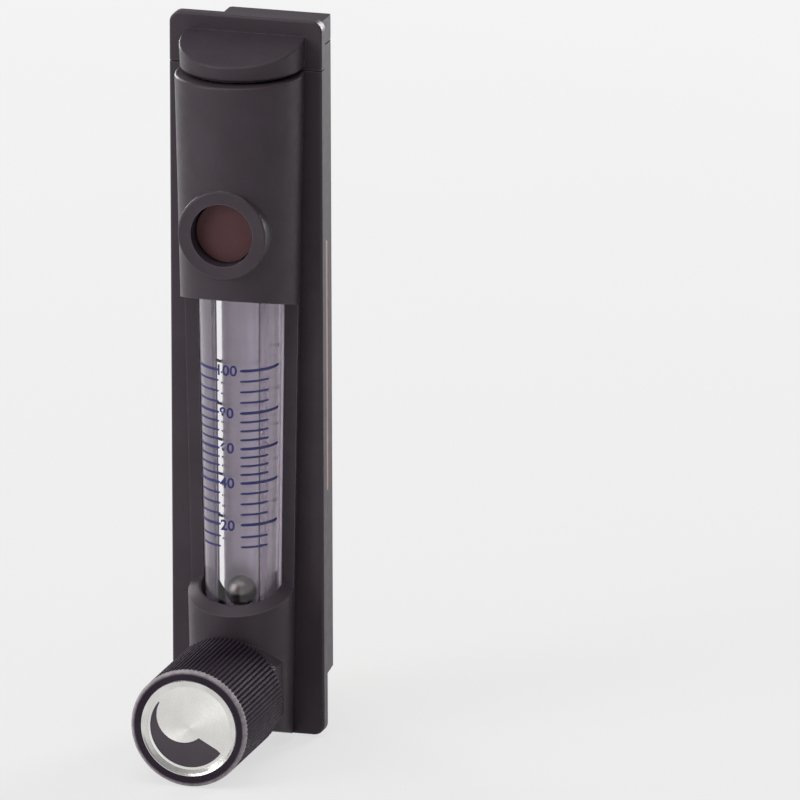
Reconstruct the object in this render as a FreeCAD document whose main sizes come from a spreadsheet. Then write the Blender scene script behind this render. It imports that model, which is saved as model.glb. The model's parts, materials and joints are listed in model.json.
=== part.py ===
"""Panel-mount rotameter with a needle valve, as a FreeCAD 1.1 parametric document.

The moulded housing is one piece: a thin bezel, a tapered half-round fairing in front of it and a deep,
narrower case behind it. The end cap closes its top. Two blocks slide down into the housing from the top,
with the clear flow tube and its white backing held between them. The lower block carries the inlet
fitting and the needle valve, the upper block the outlet fitting and the blanking plug.

Frame: the origin is the centre of the bezel's back face, -Y is the front and +Z is up. Millimetres.
"""
import FreeCAD, Part
import math
import os
import Sketcher

# Driving dimensions: alias, millimetres or degrees, meaning.
SIZES = [
    # Heights, stacked from the bottom edge of the bezel to its top edge.
    ("valve_height", 12.2, "bezel bottom edge to the valve axis"),
    ("valve_to_tube", 12.8, "valve axis to the foot of the flow tube"),
    ("tube_length", 78.0, "flow tube, end to end"),
    ("tube_to_plug", 8.5, "head of the flow tube to the plug axis"),
    ("plug_to_outlet", 22.65, "plug axis to the outlet axis"),
    ("outlet_to_split", 9.25, "outlet axis to the end cap's joint"),
    ("cap_height", 10.6, "end cap's joint to the bezel top edge"),
    ("inlet_rise", 7.65, "valve axis to the inlet axis"),
    # Bezel.
    ("plate_thickness", 2.7, "bezel"),
    ("plate_margin", 3.1, "bezel beyond the widest part of the fairing, each side"),
    ("plate_corner", 2.3, "bezel corner radius"),
    ("plate_round", 0.5, "rounding of the bezel's front edge"),
    ("split_gap", 0.3, "gap between the end cap and the housing"),
    # Fairing.
    ("fairing_wall_foot", 2.08, "fairing wall outside the tube channel, at the bezel's bottom"),
    ("fairing_wall_head", 3.81, "fairing wall outside the tube channel, at the end cap"),
    ("fairing_floor", 6.1, "foot of the tube channel above the bezel's bottom"),
    ("fairing_foot_slope", 18.0, "rise of the fairing's underside towards the front, degrees"),
    ("fairing_rim_round", 0.5, "rounding of the fairing's top rim"),
    ("channel_gap", 0.9, "tube channel beyond the tube"),
    # Window.
    ("sill_height", 8.6, "tube foot to the window sill, at the cheeks"),
    ("sill_slope", 17.5, "fall of the sill towards the front, degrees"),
    ("sill_bevel_across", 2.2, "bevel of the sill's rim, towards the tube"),
    ("sill_bevel_down", 1.0, "bevel of the sill's rim, down the fairing"),
    ("head_drop", 9.0, "tube head to the window head, at the cheeks"),
    ("head_slope", 14.0, "rise of the window head towards the front, degrees"),
    ("cheek_proud", 3.5, "cheeks beside the tube, in front of the bezel"),
    # Rear case.
    ("case_depth", 22.8, "rear case behind the bezel"),
    ("case_wall", 2.0, "rear case wall"),
    ("case_round", 0.8, "rounding of the rear case's long edges"),
    ("case_foot_slope", 10.0, "fall of the case's underside towards the bezel, degrees"),
    ("case_rise", 5.4, "rear case above the end cap's joint"),
    ("case_front", 2.0, "front wall of the rear cavity, from the bezel's back face"),
    # Finger grip of the end cap.
    ("grip_forward", 2.5, "centre of the grip's round, in front of the bezel's front face"),
    ("grip_inset", 0.3, "grip radius, less than the fairing's top radius"),
    ("grip_groove", 0.75, "groove between the fairing and the grip"),
    ("grip_rear_height", 7.2, "grip top above the joint, at the bezel"),
    ("grip_slope", 13.0, "fall of the grip's top towards the front, degrees"),
    ("grip_undercut", 0.3, "grip radius lost from its top down to its underside"),
    ("grip_rim_round", 0.4, "rounding of the grip's top rim"),
    ("grip_foot_round", 0.5, "rounding of the grip's lower edge"),
    ("grip_neck_inset", 1.6, "neck between grip and fairing, inside the grip"),
    ("lip_depth", 1.5, "locating lip under the end cap"),
    ("lip_wall", 1.2, "locating lip's wall"),
    ("lip_gap", 0.3, "locating lip to the case wall"),
    # Flow tube and what is in it.
    ("tube_forward", 4.4, "tube axis in front of the bezel's front face"),
    ("tube_foot_radius", 7.52, "flow tube outside, at its foot"),
    ("tube_head_radius", 8.69, "flow tube outside, at its head"),
    ("bore_foot_radius", 3.6, "tapered bore, at the foot"),
    ("bore_head_radius", 4.05, "tapered bore, at the head"),
    ("spigot_radius", 6.3, "turned-down ends of the tube"),
    ("spigot_length", 2.7, "turned-down ends of the tube"),
    ("socket_gap", 0.05, "spigot to its socket in a block, all round"),
    ("gasket_thick", 1.5, "section of the O-ring under each tube end"),
    ("gasket_mean_radius", 4.9, "centre line of the tube gaskets"),
    ("ball_radius", 3.175, "quarter-inch ball float"),
    ("ball_gap", 0.3, "ball to its stops at the ends of its travel"),
    ("foot_stop_length", 3.5, "lower float stop"),
    ("head_stop_length", 3.0, "upper float stop"),
    ("stop_gap", 0.05, "float stop to the bore"),
    ("stop_hole_radius", 0.8, "flow holes in the float stops"),
    ("stop_hole_circle", 2.0, "circle of the flow holes"),
    ("backing_gap", 0.2, "tube to its backing"),
    ("backing_wall", 0.5, "white backing shell"),
    ("backing_front", 1.4, "backing's edges behind the tube axis"),
    # Blocks.
    ("block_radius", 8.2, "round front of the blocks, about the tube axis"),
    ("block_half_width", 8.8, "square rear of the blocks"),
    ("block_gap", 0.2, "block to the case wall, each side"),
    ("block_front", 0.4, "square rear of the blocks, behind the cavity's front wall"),
    ("block_floor", 1.0, "block under the valve feed"),
    ("block_top", 7.35, "upper block above the outlet axis"),
    ("shoulder_gap", 0.2, "tube shoulder to the block"),
    ("seat_face", 5.4, "spot face for bonnet and plug, in front of the tube axis"),
    ("seat_face_radius", 6.5, "spot face"),
    ("riser_radius", 1.0, "riser from the valve to the tube"),
    ("riser_back", 2.4, "riser behind the tube axis"),
    ("plenum_depth", 1.0, "recess under the tube gasket"),
    ("plenum_radius", 3.0, "recess under the tube gasket"),
    ("feed_radius", 1.2, "feed from the inlet to the valve"),
    ("lift_radius", 1.0, "upright between the inlet and the feed"),
    ("feed_back", 4.0, "vertical feed, behind the bezel's back face"),
    ("passage_radius", 2.0, "passages in the blocks"),
    # Ports.
    ("port_radius", 4.3, "1/8 inch pipe thread, tapping size"),
    ("port_length", 10.0, "threaded length of each port"),
    ("fitting_radius", 5.9, "fitting barrel"),
    ("fitting_gap", 0.05, "fitting barrel to its hole"),
    ("fitting_reach", 11.0, "fitting barrel from the case's rear face inwards"),
    ("fitting_flat", 8.0, "half the hexagon's width across flats"),
    ("fitting_head", 3.8, "hexagon, front to back"),
    ("port_seal_thick", 1.2, "O-ring at the end of each fitting"),
    ("port_seal_radius", 4.6, "centre line of the fitting O-rings"),
    # Valve.
    ("boss_radius", 11.6, "valve boss"),
    ("boss_half_width", 10.1, "flat sides of the valve boss"),
    ("boss_forward", 16.2, "valve boss in front of the bezel's front face"),
    ("boss_bore", 7.0, "clearance bore of the valve boss"),
    ("boss_round", 0.4, "rounding of the plug boss's front edge"),
    ("barrel_radius", 4.6, "threaded barrel of bonnet and plug"),
    ("barrel_length", 4.5, "threaded barrel of bonnet and plug"),
    ("barrel_gap", 0.02, "barrel to its thread, all round"),
    ("flange_radius", 6.0, "bonnet flange and plug head"),
    ("flange_length", 2.5, "bonnet flange"),
    ("neck_radius", 4.2, "bonnet neck"),
    ("neck_length", 9.4, "bonnet neck"),
    ("chamber_radius", 3.02, "metering chamber and seat pocket"),
    ("chamber_end", 0.7, "metering chamber, behind the bezel's back face"),
    ("seal_step", 1.2, "O-ring space at the end of the barrel"),
    ("seal_mean_radius", 3.9, "centre line of the bonnet and plug O-rings"),
    ("seal_thick", 1.2, "section of the valve's O-rings"),
    ("stem_radius", 2.5, "M5 valve stem"),
    ("stem_gap", 0.02, "stem to its thread, all round"),
    ("stem_front", 24.6, "front end of the stem, in front of the valve boss's rear datum"),
    ("collar_radius", 2.8, "needle collar"),
    ("collar_gap", 0.1, "needle collar to the bonnet's counterbore"),
    ("collar_length", 3.5, "needle collar"),
    ("collar_back", 7.5, "rear face of the needle collar, in front of the bezel's back face"),
    ("needle_travel", 2.25, "lift of the needle from shut to fully open"),
    ("needle_radius", 1.3, "needle shank"),
    ("needle_cone", 3.3, "needle cone length"),
    ("needle_tip", 0.3, "needle tip radius"),
    ("needle_reach", 1.0, "needle tip behind the bezel's back face"),
    ("groove_width", 1.4, "O-ring groove in the needle collar"),
    ("groove_inset", 0.5, "O-ring groove from the collar's front face"),
    ("groove_floor", 1.65, "O-ring groove floor radius"),
    ("swivel_head", 1.2, "swivel head radius"),
    ("swivel_neck", 0.8, "swivel neck radius"),
    ("swivel_gap", 0.05, "swivel to the needle, all round"),
    ("seat_length", 2.2, "valve seat"),
    ("seat_radius", 3.0, "valve seat"),
    ("orifice_radius", 1.1, "valve seat orifice"),
    ("nut_flat", 5.5, "half the gland nut's width across flats"),
    ("nut_length", 5.5, "gland nut"),
    ("nut_lip", 0.8, "gland nut's front wall"),
    ("packing_thick", 0.8, "stem packing"),
    # Knob.
    ("knob_radius", 12.5, "knob over the knurl"),
    ("knob_length", 26.0, "knob"),
    ("knob_gap", 0.5, "knob to the valve boss, shut"),
    ("knob_wall", 2.4, "knob skirt"),
    ("knob_face", 4.0, "knob front wall"),
    ("knob_rim_round", 0.5, "chamfer of the knob's front edge"),
    ("hub_radius", 5.4, "knob hub"),
    ("hub_back", 7.6, "hub's rear end, inside the skirt"),
    ("insert_radius", 4.4, "brass insert in the hub"),
    ("insert_gap", 0.02, "insert to the hub and to the stem"),
    ("knurl_depth", 0.45, "knurl groove depth"),
    ("knurl_width", 0.5, "knurl groove width"),
    ("knurl_land", 0.8, "plain ring in front of the knurl"),
    ("knurl_count", 84.0, "knurl grooves"),
    ("screw_radius", 1.5, "M3 set screw"),
    ("screw_length", 2.6, "M3 set screw"),
    ("screw_from_face", 14.5, "set screw behind the knob's front face"),
    ("screw_access_gap", 0.2, "access hole in the skirt, beyond the screw"),
    ("inlay_radius", 10.3, "aluminium inlay"),
    ("inlay_thick", 0.8, "aluminium inlay"),
    ("inlay_recess", 0.4, "inlay below the knob's rim"),
    ("inlay_gap", 0.1, "inlay to the rim, all round"),
    ("crescent_depth", 0.15, "recess of the opening mark"),
    ("crescent_outer", 8.4, "opening mark, outer arc"),
    ("crescent_inner", 5.6, "opening mark, inner arc"),
    ("crescent_left", 1.4, "inner arc's centre, left of the knob axis"),
    ("crescent_up", 2.4, "inner arc's centre, above the knob axis"),
    # Blanking plug.
    ("plug_boss_radius", 9.5, "plug boss"),
    ("plug_boss_forward", 17.6, "plug boss in front of the bezel's front face"),
    ("plug_bore", 6.7, "clearance bore of the plug boss"),
    ("disc_radius", 6.3, "red-brown disc and the plug's head under it"),
    ("disc_thick", 1.2, "red-brown disc"),
    ("disc_recess", 3.0, "disc below the boss's front edge"),
]

# Places worked out from the sizes: alias and formula. Levels are heights in Z, stations are places in Y.
PLACES = [
    ("plate_height", "sizes.valve_height + sizes.valve_to_tube + sizes.tube_length + sizes.tube_to_plug"
                     " + sizes.plug_to_outlet + sizes.outlet_to_split + sizes.cap_height"),
    ("plate_top", "plate_height / 2"),
    ("plate_bottom", "-plate_height / 2"),
    ("valve_level", "plate_bottom + sizes.valve_height"),
    ("inlet_level", "valve_level + sizes.inlet_rise"),
    ("foot_level", "valve_level + sizes.valve_to_tube"),
    ("head_level", "foot_level + sizes.tube_length"),
    ("plug_level", "head_level + sizes.tube_to_plug"),
    ("outlet_level", "plug_level + sizes.plug_to_outlet"),
    ("split_level", "outlet_level + sizes.outlet_to_split"),
    ("body_top", "split_level - sizes.split_gap / 2"),
    ("cap_bottom", "split_level + sizes.split_gap / 2"),
    ("case_top", "split_level + sizes.case_rise"),
    ("case_bottom", "valve_level - sizes.feed_radius - sizes.block_floor - sizes.case_wall"),
    ("cavity_floor", "case_bottom + sizes.case_wall"),
    ("channel_floor", "plate_bottom + sizes.fairing_floor"),
    ("sill_level", "foot_level + sizes.sill_height"),
    ("window_head", "head_level - sizes.head_drop"),
    ("channel_foot", "sizes.tube_foot_radius + sizes.channel_gap"),
    ("channel_head", "sizes.tube_head_radius + sizes.channel_gap"),
    ("fairing_foot", "channel_foot + sizes.fairing_wall_foot"),
    ("fairing_head", "channel_head + sizes.fairing_wall_head"),
    ("plate_half", "fairing_head + sizes.plate_margin"),
    ("cavity_half", "sizes.block_half_width + sizes.block_gap"),
    ("case_half", "cavity_half + sizes.case_wall"),
    ("tube_axis", "-sizes.plate_thickness - sizes.tube_forward"),
    ("grip_axis", "-sizes.plate_thickness - sizes.grip_forward"),
    ("cheek_front", "-sizes.plate_thickness - sizes.cheek_proud"),
    ("boss_front", "-sizes.plate_thickness - sizes.boss_forward"),
    ("plug_front", "-sizes.plate_thickness - sizes.plug_boss_forward"),
    ("cavity_back", "sizes.case_depth - sizes.case_wall"),
    ("grip_bottom", "cap_bottom + sizes.grip_groove - sizes.split_gap"),
    ("grip_rear_top", "split_level + sizes.grip_rear_height"),
    ("grip_radius", "fairing_head - sizes.grip_inset"),
    ("seat_station", "tube_axis - sizes.seat_face"),
    ("barrel_end", "seat_station + sizes.barrel_length"),
    ("seal_end", "barrel_end + sizes.seal_step"),
    ("flange_front", "seat_station - sizes.flange_length"),
    ("neck_front", "flange_front - sizes.neck_length"),
    ("collar_front", "-sizes.collar_back - sizes.collar_length"),
    ("collar_stop", "collar_front - sizes.needle_travel - 2 * sizes.swivel_gap"),
    ("nut_front", "neck_front - sizes.packing_thick - sizes.nut_lip"),
    ("knob_rear", "boss_front - sizes.knob_gap"),
    ("knob_front", "knob_rear - sizes.knob_length"),
    ("hub_rear", "knob_rear - sizes.hub_back"),
    ("stem_end", "knob_front + sizes.knob_face + sizes.insert_gap"),
    ("screw_station", "knob_front + sizes.screw_from_face"),
    ("inlay_front", "knob_front + sizes.inlay_recess"),
    ("inlay_back", "inlay_front + sizes.inlay_thick"),
    ("disc_front", "plug_front + sizes.disc_recess"),
    ("disc_back", "disc_front + sizes.disc_thick"),
    ("fitting_inner", "sizes.case_depth - sizes.fitting_reach"),
    ("fitting_outer", "sizes.case_depth + sizes.fitting_head"),
    ("port_floor", "fitting_inner - sizes.port_seal_thick"),
    ("gasket_level", "foot_level - sizes.gasket_thick / 2"),
    ("head_gasket_level", "head_level + sizes.gasket_thick / 2"),
    ("lower_block_top", "foot_level + sizes.spigot_length - sizes.shoulder_gap"),
    ("upper_block_bottom", "head_level - sizes.spigot_length + sizes.shoulder_gap"),
    ("upper_block_top", "outlet_level + sizes.block_top"),
    ("foot_stop_top", "foot_level + sizes.foot_stop_length"),
    ("ball_level", "foot_stop_top + sizes.ball_gap + sizes.ball_radius"),
]

STOP_HOLES = 3
FULL_TURN = 360
RING_FACES = 8
HALF_FACE = FULL_TURN / RING_FACES / 2
BEYOND = 5.0  # how far a cutting tool runs past what it cuts

doc = FreeCAD.newDocument("rotameter")


def make_sheets():
    """Put the driving sizes and the places that follow from them on two sheets."""
    sizes = doc.addObject("Spreadsheet::Sheet", "sizes")
    for row, (alias, number, meaning) in enumerate(SIZES, start=1):
        sizes.set(f"A{row}", meaning)
        sizes.set(f"B{row}", str(number))
        sizes.setAlias(f"B{row}", alias)
    places = doc.addObject("Spreadsheet::Sheet", "places")
    for row, (alias, formula) in enumerate(PLACES, start=1):
        places.set(f"A{row}", alias)
        places.set(f"B{row}", "=" + formula)
        places.setAlias(f"B{row}", alias)
    doc.recompute()
    return sizes, places


sizes, places = make_sheets()


def worth(text):
    """The number that an expression gives now."""
    result = places.evalExpression(text)
    return float(getattr(result, "Value", result))


def bind(item, expressions):
    """Tie properties of an object to the sheets."""
    for path, text in expressions.items():
        item.setExpression(path, text)


# ---- Sketches ---------------------------------------------------------------------------------------


def new_body(label, place=None):
    """A PartDesign body whose label names its file."""
    body = doc.addObject("PartDesign::Body", "body_" + label)
    body.Label = label
    bind(body, {"Placement.Base." + axis: text for axis, text in (place or {}).items()})
    return body


def new_sketch(body, name, role, offset=None):
    """A sketch on one of the body's own origin planes, moved by expressions in the plane's own axes."""
    sketch = body.newObject("Sketcher::SketchObject", f"{name}_of_{body.Label}")
    plane = next(item for item in body.Origin.OriginFeatures if item.Role == role)
    sketch.AttachmentSupport = [(plane, "")]
    sketch.MapMode = "FlatFace"
    bind(sketch, {"AttachmentOffset.Base." + axis: text for axis, text in (offset or {}).items()})
    return sketch


def pin_point(sketch, shape, end, across, up):
    """Fix one end of a shape by its distances from the sketch's origin."""
    for kind, text in (("DistanceX", across), ("DistanceY", up)):
        index = sketch.addConstraint(Sketcher.Constraint(kind, -1, 1, shape, end, worth(text)))
        sketch.setExpression(f"Constraints[{index}]", text)


def draw_polygon(sketch, corners):
    """A closed outline of straight lines through corners given as pairs of expressions."""
    points = [FreeCAD.Vector(worth(across), worth(up), 0) for across, up in corners]
    first = sketch.GeometryCount
    for start, end in zip(points, points[1:] + points[:1]):
        sketch.addGeometry(Part.LineSegment(start, end), False)
    for step, (across, up) in enumerate(corners):
        following = first + (step + 1) % len(corners)
        sketch.addConstraint(Sketcher.Constraint("Coincident", first + step, 2, following, 1))
        pin_point(sketch, first + step, 1, across, up)


def draw_circle(sketch, radius, across="0", up="0"):
    """A circle whose centre and radius are expressions."""
    centre = FreeCAD.Vector(worth(across), worth(up), 0)
    circle = Part.Circle(centre, FreeCAD.Vector(0, 0, 1), worth(radius))
    shape = sketch.addGeometry(circle, False)
    index = sketch.addConstraint(Sketcher.Constraint("Radius", shape, worth(radius)))
    sketch.setExpression(f"Constraints[{index}]", radius)
    pin_point(sketch, shape, 3, across, up)


def draw_rectangle(sketch, left, right, low, high):
    """A rectangle between four expressions."""
    draw_polygon(sketch, [(left, low), (right, low), (right, high), (left, high)])


def draw_bow(sketch, radius, axis):
    """The part of a circle in front of the sketch's horizontal axis, closed by a straight line."""
    reach = worth(radius)
    centre = FreeCAD.Vector(0, worth(axis), 0)
    lean = math.asin(-centre.y / reach)
    circle = Part.Circle(centre, FreeCAD.Vector(0, 0, 1), reach)
    arc = sketch.addGeometry(Part.ArcOfCircle(circle, math.pi - lean, 2 * math.pi + lean), False)
    half = reach * math.cos(lean)
    back = sketch.addGeometry(Part.LineSegment(FreeCAD.Vector(half, 0, 0), FreeCAD.Vector(-half, 0, 0)), False)
    sketch.addConstraint(Sketcher.Constraint("Coincident", arc, 2, back, 1))
    sketch.addConstraint(Sketcher.Constraint("Coincident", back, 2, arc, 1))
    sketch.addConstraint(Sketcher.Constraint("PointOnObject", arc, 1, -1))
    sketch.addConstraint(Sketcher.Constraint("PointOnObject", arc, 2, -1))
    index = sketch.addConstraint(Sketcher.Constraint("Radius", arc, reach))
    sketch.setExpression(f"Constraints[{index}]", radius)
    pin_point(sketch, arc, 3, "0", axis)


def draw_flatted_circle(sketch, radius, half_width, up):
    """A circle with a flat on each side."""
    reach = worth(radius)
    half = worth(half_width)
    centre = FreeCAD.Vector(0, worth(up), 0)
    lean = math.acos(half / reach)
    circle = Part.Circle(centre, FreeCAD.Vector(0, 0, 1), reach)
    rise = FreeCAD.Vector(0, reach * math.sin(lean), 0)
    side = FreeCAD.Vector(half, 0, 0)
    top = sketch.addGeometry(Part.ArcOfCircle(circle, lean, math.pi - lean), False)
    left = sketch.addGeometry(Part.LineSegment(centre - side + rise, centre - side - rise), False)
    bottom = sketch.addGeometry(Part.ArcOfCircle(circle, math.pi + lean, 2 * math.pi - lean), False)
    right = sketch.addGeometry(Part.LineSegment(centre + side - rise, centre + side + rise), False)
    for before, after in ((top, left), (left, bottom), (bottom, right), (right, top)):
        sketch.addConstraint(Sketcher.Constraint("Coincident", before, 2, after, 1))
    for arc, first, second in ((top, half_width, f"-({half_width})"), (bottom, f"-({half_width})", half_width)):
        index = sketch.addConstraint(Sketcher.Constraint("Radius", arc, reach))
        sketch.setExpression(f"Constraints[{index}]", radius)
        pin_point(sketch, arc, 3, "0", up)
        for end, text in ((1, first), (2, second)):
            index = sketch.addConstraint(Sketcher.Constraint("DistanceX", -1, 1, arc, end, worth(text)))
            sketch.setExpression(f"Constraints[{index}]", text)


def draw_half_round(sketch, radius, axis):
    """Half a circle in front of two flat flanks that start on the sketch's horizontal axis."""
    reach = worth(radius)
    centre = FreeCAD.Vector(0, worth(axis), 0)
    left = FreeCAD.Vector(-reach, 0, 0)
    right = FreeCAD.Vector(reach, 0, 0)
    bow = Part.ArcOfCircle(Part.Circle(centre, FreeCAD.Vector(0, 0, 1), reach), math.pi, 2 * math.pi)
    flank = sketch.addGeometry(Part.LineSegment(left, left + centre), False)
    arc = sketch.addGeometry(bow, False)
    other = sketch.addGeometry(Part.LineSegment(right + centre, right), False)
    back = sketch.addGeometry(Part.LineSegment(right, left), False)
    for before, after in ((flank, arc), (arc, other), (other, back), (back, flank)):
        sketch.addConstraint(Sketcher.Constraint("Coincident", before, 2, after, 1))
    pin_point(sketch, flank, 1, f"-({radius})", "0")
    pin_point(sketch, flank, 2, f"-({radius})", axis)
    pin_point(sketch, other, 1, radius, axis)
    pin_point(sketch, other, 2, radius, "0")
    index = sketch.addConstraint(Sketcher.Constraint("DistanceY", -1, 1, arc, 3, worth(axis)))
    sketch.setExpression(f"Constraints[{index}]", axis)


# ---- Features ---------------------------------------------------------------------------------------


def add_feature(body, kind, name, sketch, length, reverse=False):
    """Pad or pocket a sketch by a length, checking that it changed the solid."""
    before = body.Shape.Volume if body.Tip else 0.0
    feature = body.newObject("PartDesign::" + kind, f"{name}_of_{body.Label}")
    feature.Profile = sketch
    bind(feature, {"Length": length})
    feature.Reversed = reverse
    doc.recompute()
    if math.isclose(before, feature.Shape.Volume):
        raise RuntimeError(f"{name} of {body.Label} changes nothing")
    return feature


def cut_across(body, name, sketch, length):
    """Pocket a sketch by a length shared between both sides of its plane."""
    before = body.Shape.Volume
    feature = body.newObject("PartDesign::Pocket", f"{name}_of_{body.Label}")
    feature.Profile = sketch
    feature.Midplane = True
    bind(feature, {"Length": length})
    doc.recompute()
    if feature.Shape.Volume >= before:
        raise RuntimeError(f"{name} of {body.Label} cuts nothing")
    return feature


def cut_round(body, name, radius, front, back, level, across="0"):
    """A round hole along Y from one station to another."""
    sketch = new_sketch(body, name + "_sketch", "XZ_Plane", {"z": f"-({front})"})
    draw_circle(sketch, radius, across, level)
    return add_feature(body, "Pocket", name, sketch, f"({back}) - ({front})")


def turn(body, kind, name, sketch, axis):
    """Revolve a sketch about one of its own axes, adding or cutting."""
    feature = body.newObject("PartDesign::" + kind, f"{name}_of_{body.Label}")
    feature.Profile = sketch
    feature.ReferenceAxis = (sketch, [axis])
    feature.Angle = FULL_TURN
    doc.recompute()
    return feature


def loft(body, name, lower, upper):
    """An additive loft between two sketches."""
    feature = body.newObject("PartDesign::AdditiveLoft", f"{name}_of_{body.Label}")
    feature.Profile = lower
    feature.Sections = [upper]
    feature.Ruled = True
    doc.recompute()
    return feature


def round_edges(body, name, radius, wanted, kind="Fillet"):
    """Fillet or chamfer the edges of the body that a test picks out."""
    base = body.Tip
    chosen = [f"Edge{number}" for number, edge in enumerate(base.Shape.Edges, start=1) if wanted(edge)]
    if not chosen:
        raise RuntimeError(f"{name} of {body.Label} finds no edge")
    feature = body.newObject("PartDesign::" + kind, f"{name}_of_{body.Label}")
    feature.Base = (base, chosen)
    bind(feature, {"Radius" if kind == "Fillet" else "Size": radius})
    doc.recompute()
    return feature


def near(one, other, allowance=0.02):
    """Whether two measures agree."""
    return abs(one - other) < allowance


def lies_at(edge, axis, place):
    """Whether the whole edge lies at one place on an axis."""
    box = edge.BoundBox
    return near(getattr(box, axis + "Min"), place) and near(getattr(box, axis + "Max"), place)


def is_straight(edge):
    """Whether an edge is a straight line."""
    return isinstance(edge.Curve, Part.Line)


def turned_along_y(label, profile, level=None):
    """A piece turned about an axis along Y: corners are (station, radius)."""
    body = new_body(label, {"z": level} if level else None)
    sketch = new_sketch(body, "profile", "YZ_Plane")
    draw_polygon(sketch, profile)
    turn(body, "Revolution", "turning", sketch, "H_Axis")
    return body


def turned_along_z(label, profile):
    """A piece turned about the flow tube's axis: corners are (radius, level)."""
    body = new_body(label, {"y": "places.tube_axis"})
    sketch = new_sketch(body, "profile", "XZ_Plane")
    draw_polygon(sketch, profile)
    turn(body, "Revolution", "turning", sketch, "V_Axis")
    return body


# ---- Part primitives --------------------------------------------------------------------------------

ALONG_Y = FreeCAD.Rotation(FreeCAD.Vector(1, 0, 0), -90)


def primitive(kind, name, properties, place, rotation=None):
    """A Part primitive with bound sizes and a bound place."""
    item = doc.addObject("Part::" + kind, name)
    if rotation is not None:
        item.Placement = FreeCAD.Placement(FreeCAD.Vector(0, 0, 0), rotation)
    bind(item, properties)
    bind(item, {"Placement.Base." + axis: text for axis, text in place.items()})
    return item


def box(name, left, right, front, back, low, high):
    """A box between six expressions."""
    lengths = {"Length": f"({right}) - ({left})", "Width": f"({back}) - ({front})", "Height": f"({high}) - ({low})"}
    return primitive("Box", name, lengths, {"x": left, "y": front, "z": low})


def upright(name, radius, low, high, station):
    """A cylinder along Z."""
    return primitive("Cylinder", name, {"Radius": radius, "Height": f"({high}) - ({low})"},
                     {"y": station, "z": low})


def level_rod(name, radius, front, back, level):
    """A cylinder along Y."""
    return primitive("Cylinder", name, {"Radius": radius, "Height": f"({back}) - ({front})"},
                     {"y": front, "z": level}, ALONG_Y)


def fuse(name, shapes):
    """Several shapes made one."""
    item = doc.addObject("Part::MultiFuse", name)
    item.Shapes = shapes
    item.Refine = True
    return item


def cut(label, base, tools):
    """A base less several tools, as a finished sub-part."""
    tool = tools[0] if len(tools) == 1 else fuse("tools_of_" + label, tools)
    item = doc.addObject("Part::Cut", "cut_" + label)
    item.Base = base
    item.Tool = tool
    item.Label = label
    return item


def ring_section(mean_radius, thickness, middle):
    """The eight corners of a seal ring's section, as pairs of radius and place along the axis."""
    corner = f"({thickness}) / 2 / cos({HALF_FACE} deg)"
    angles = [HALF_FACE + number * FULL_TURN / RING_FACES for number in range(RING_FACES)]
    return [(f"{mean_radius} + {corner} * cos({angle} deg)", f"{middle} + {corner} * sin({angle} deg)")
            for angle in angles]


def upright_ring(label, mean_radius, thickness, middle):
    """A seal ring about the flow tube's axis."""
    return turned_along_z(label, ring_section(mean_radius, thickness, middle))


def level_ring(label, mean_radius, thickness, middle, level):
    """A seal ring about an axis along Y."""
    section = ring_section(mean_radius, thickness, middle)
    return turned_along_y(label, [(station, radius) for radius, station in section], level)


# ---- Housing and end cap ----------------------------------------------------------------------------


def shape_bezel(body, low, high, corner_level):
    """The bezel plate with its two outer corners and its front edge rounded."""
    sketch = new_sketch(body, "plate_sketch", "XZ_Plane")
    draw_rectangle(sketch, "-places.plate_half", "places.plate_half", low, high)
    add_feature(body, "Pad", "plate", sketch, "sizes.plate_thickness")
    level = worth(corner_level)
    half = worth("places.plate_half")

    def is_corner(edge):
        centre = edge.CenterOfMass
        return is_straight(edge) and near(centre.z, level) and near(abs(centre.x), half) and not lies_at(edge, "Y", centre.y)

    round_edges(body, "corners", "sizes.plate_corner", is_corner)
    split = worth(low) if near(worth(high), level) else worth(high)
    front = -worth("sizes.plate_thickness")

    def is_front(edge):
        return lies_at(edge, "Y", front) and not lies_at(edge, "Z", split)

    round_edges(body, "front_edge", "sizes.plate_round", is_front)


def shape_case(body, low, high):
    """The rear case as a solid block with its long rear edges rounded."""
    sketch = new_sketch(body, "case_sketch", "XZ_Plane")
    draw_rectangle(sketch, "-places.case_half", "places.case_half", low, high)
    add_feature(body, "Pad", "case", sketch, "sizes.case_depth", reverse=True)
    back = worth("sizes.case_depth")
    half = worth("places.case_half")

    def is_long_edge(edge):
        return lies_at(edge, "Y", back) and near(abs(edge.CenterOfMass.x), half)

    round_edges(body, "case_edges", "sizes.case_round", is_long_edge)


def slope_case_foot(body):
    """The wedge under the rear case, deepest at the bezel."""
    sketch = new_sketch(body, "case_foot_sketch", "YZ_Plane")
    back = "(sizes.case_depth - sizes.case_round)"
    draw_polygon(sketch, [
        ("0", "places.case_bottom"),
        ("0", f"places.case_bottom - {back} * tan(sizes.case_foot_slope * 1 deg)"),
        (back, "places.case_bottom"),
    ])
    foot = add_feature(body, "Pad", "case_foot", sketch, "places.case_half * 2")
    foot.Midplane = True
    doc.recompute()


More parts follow.
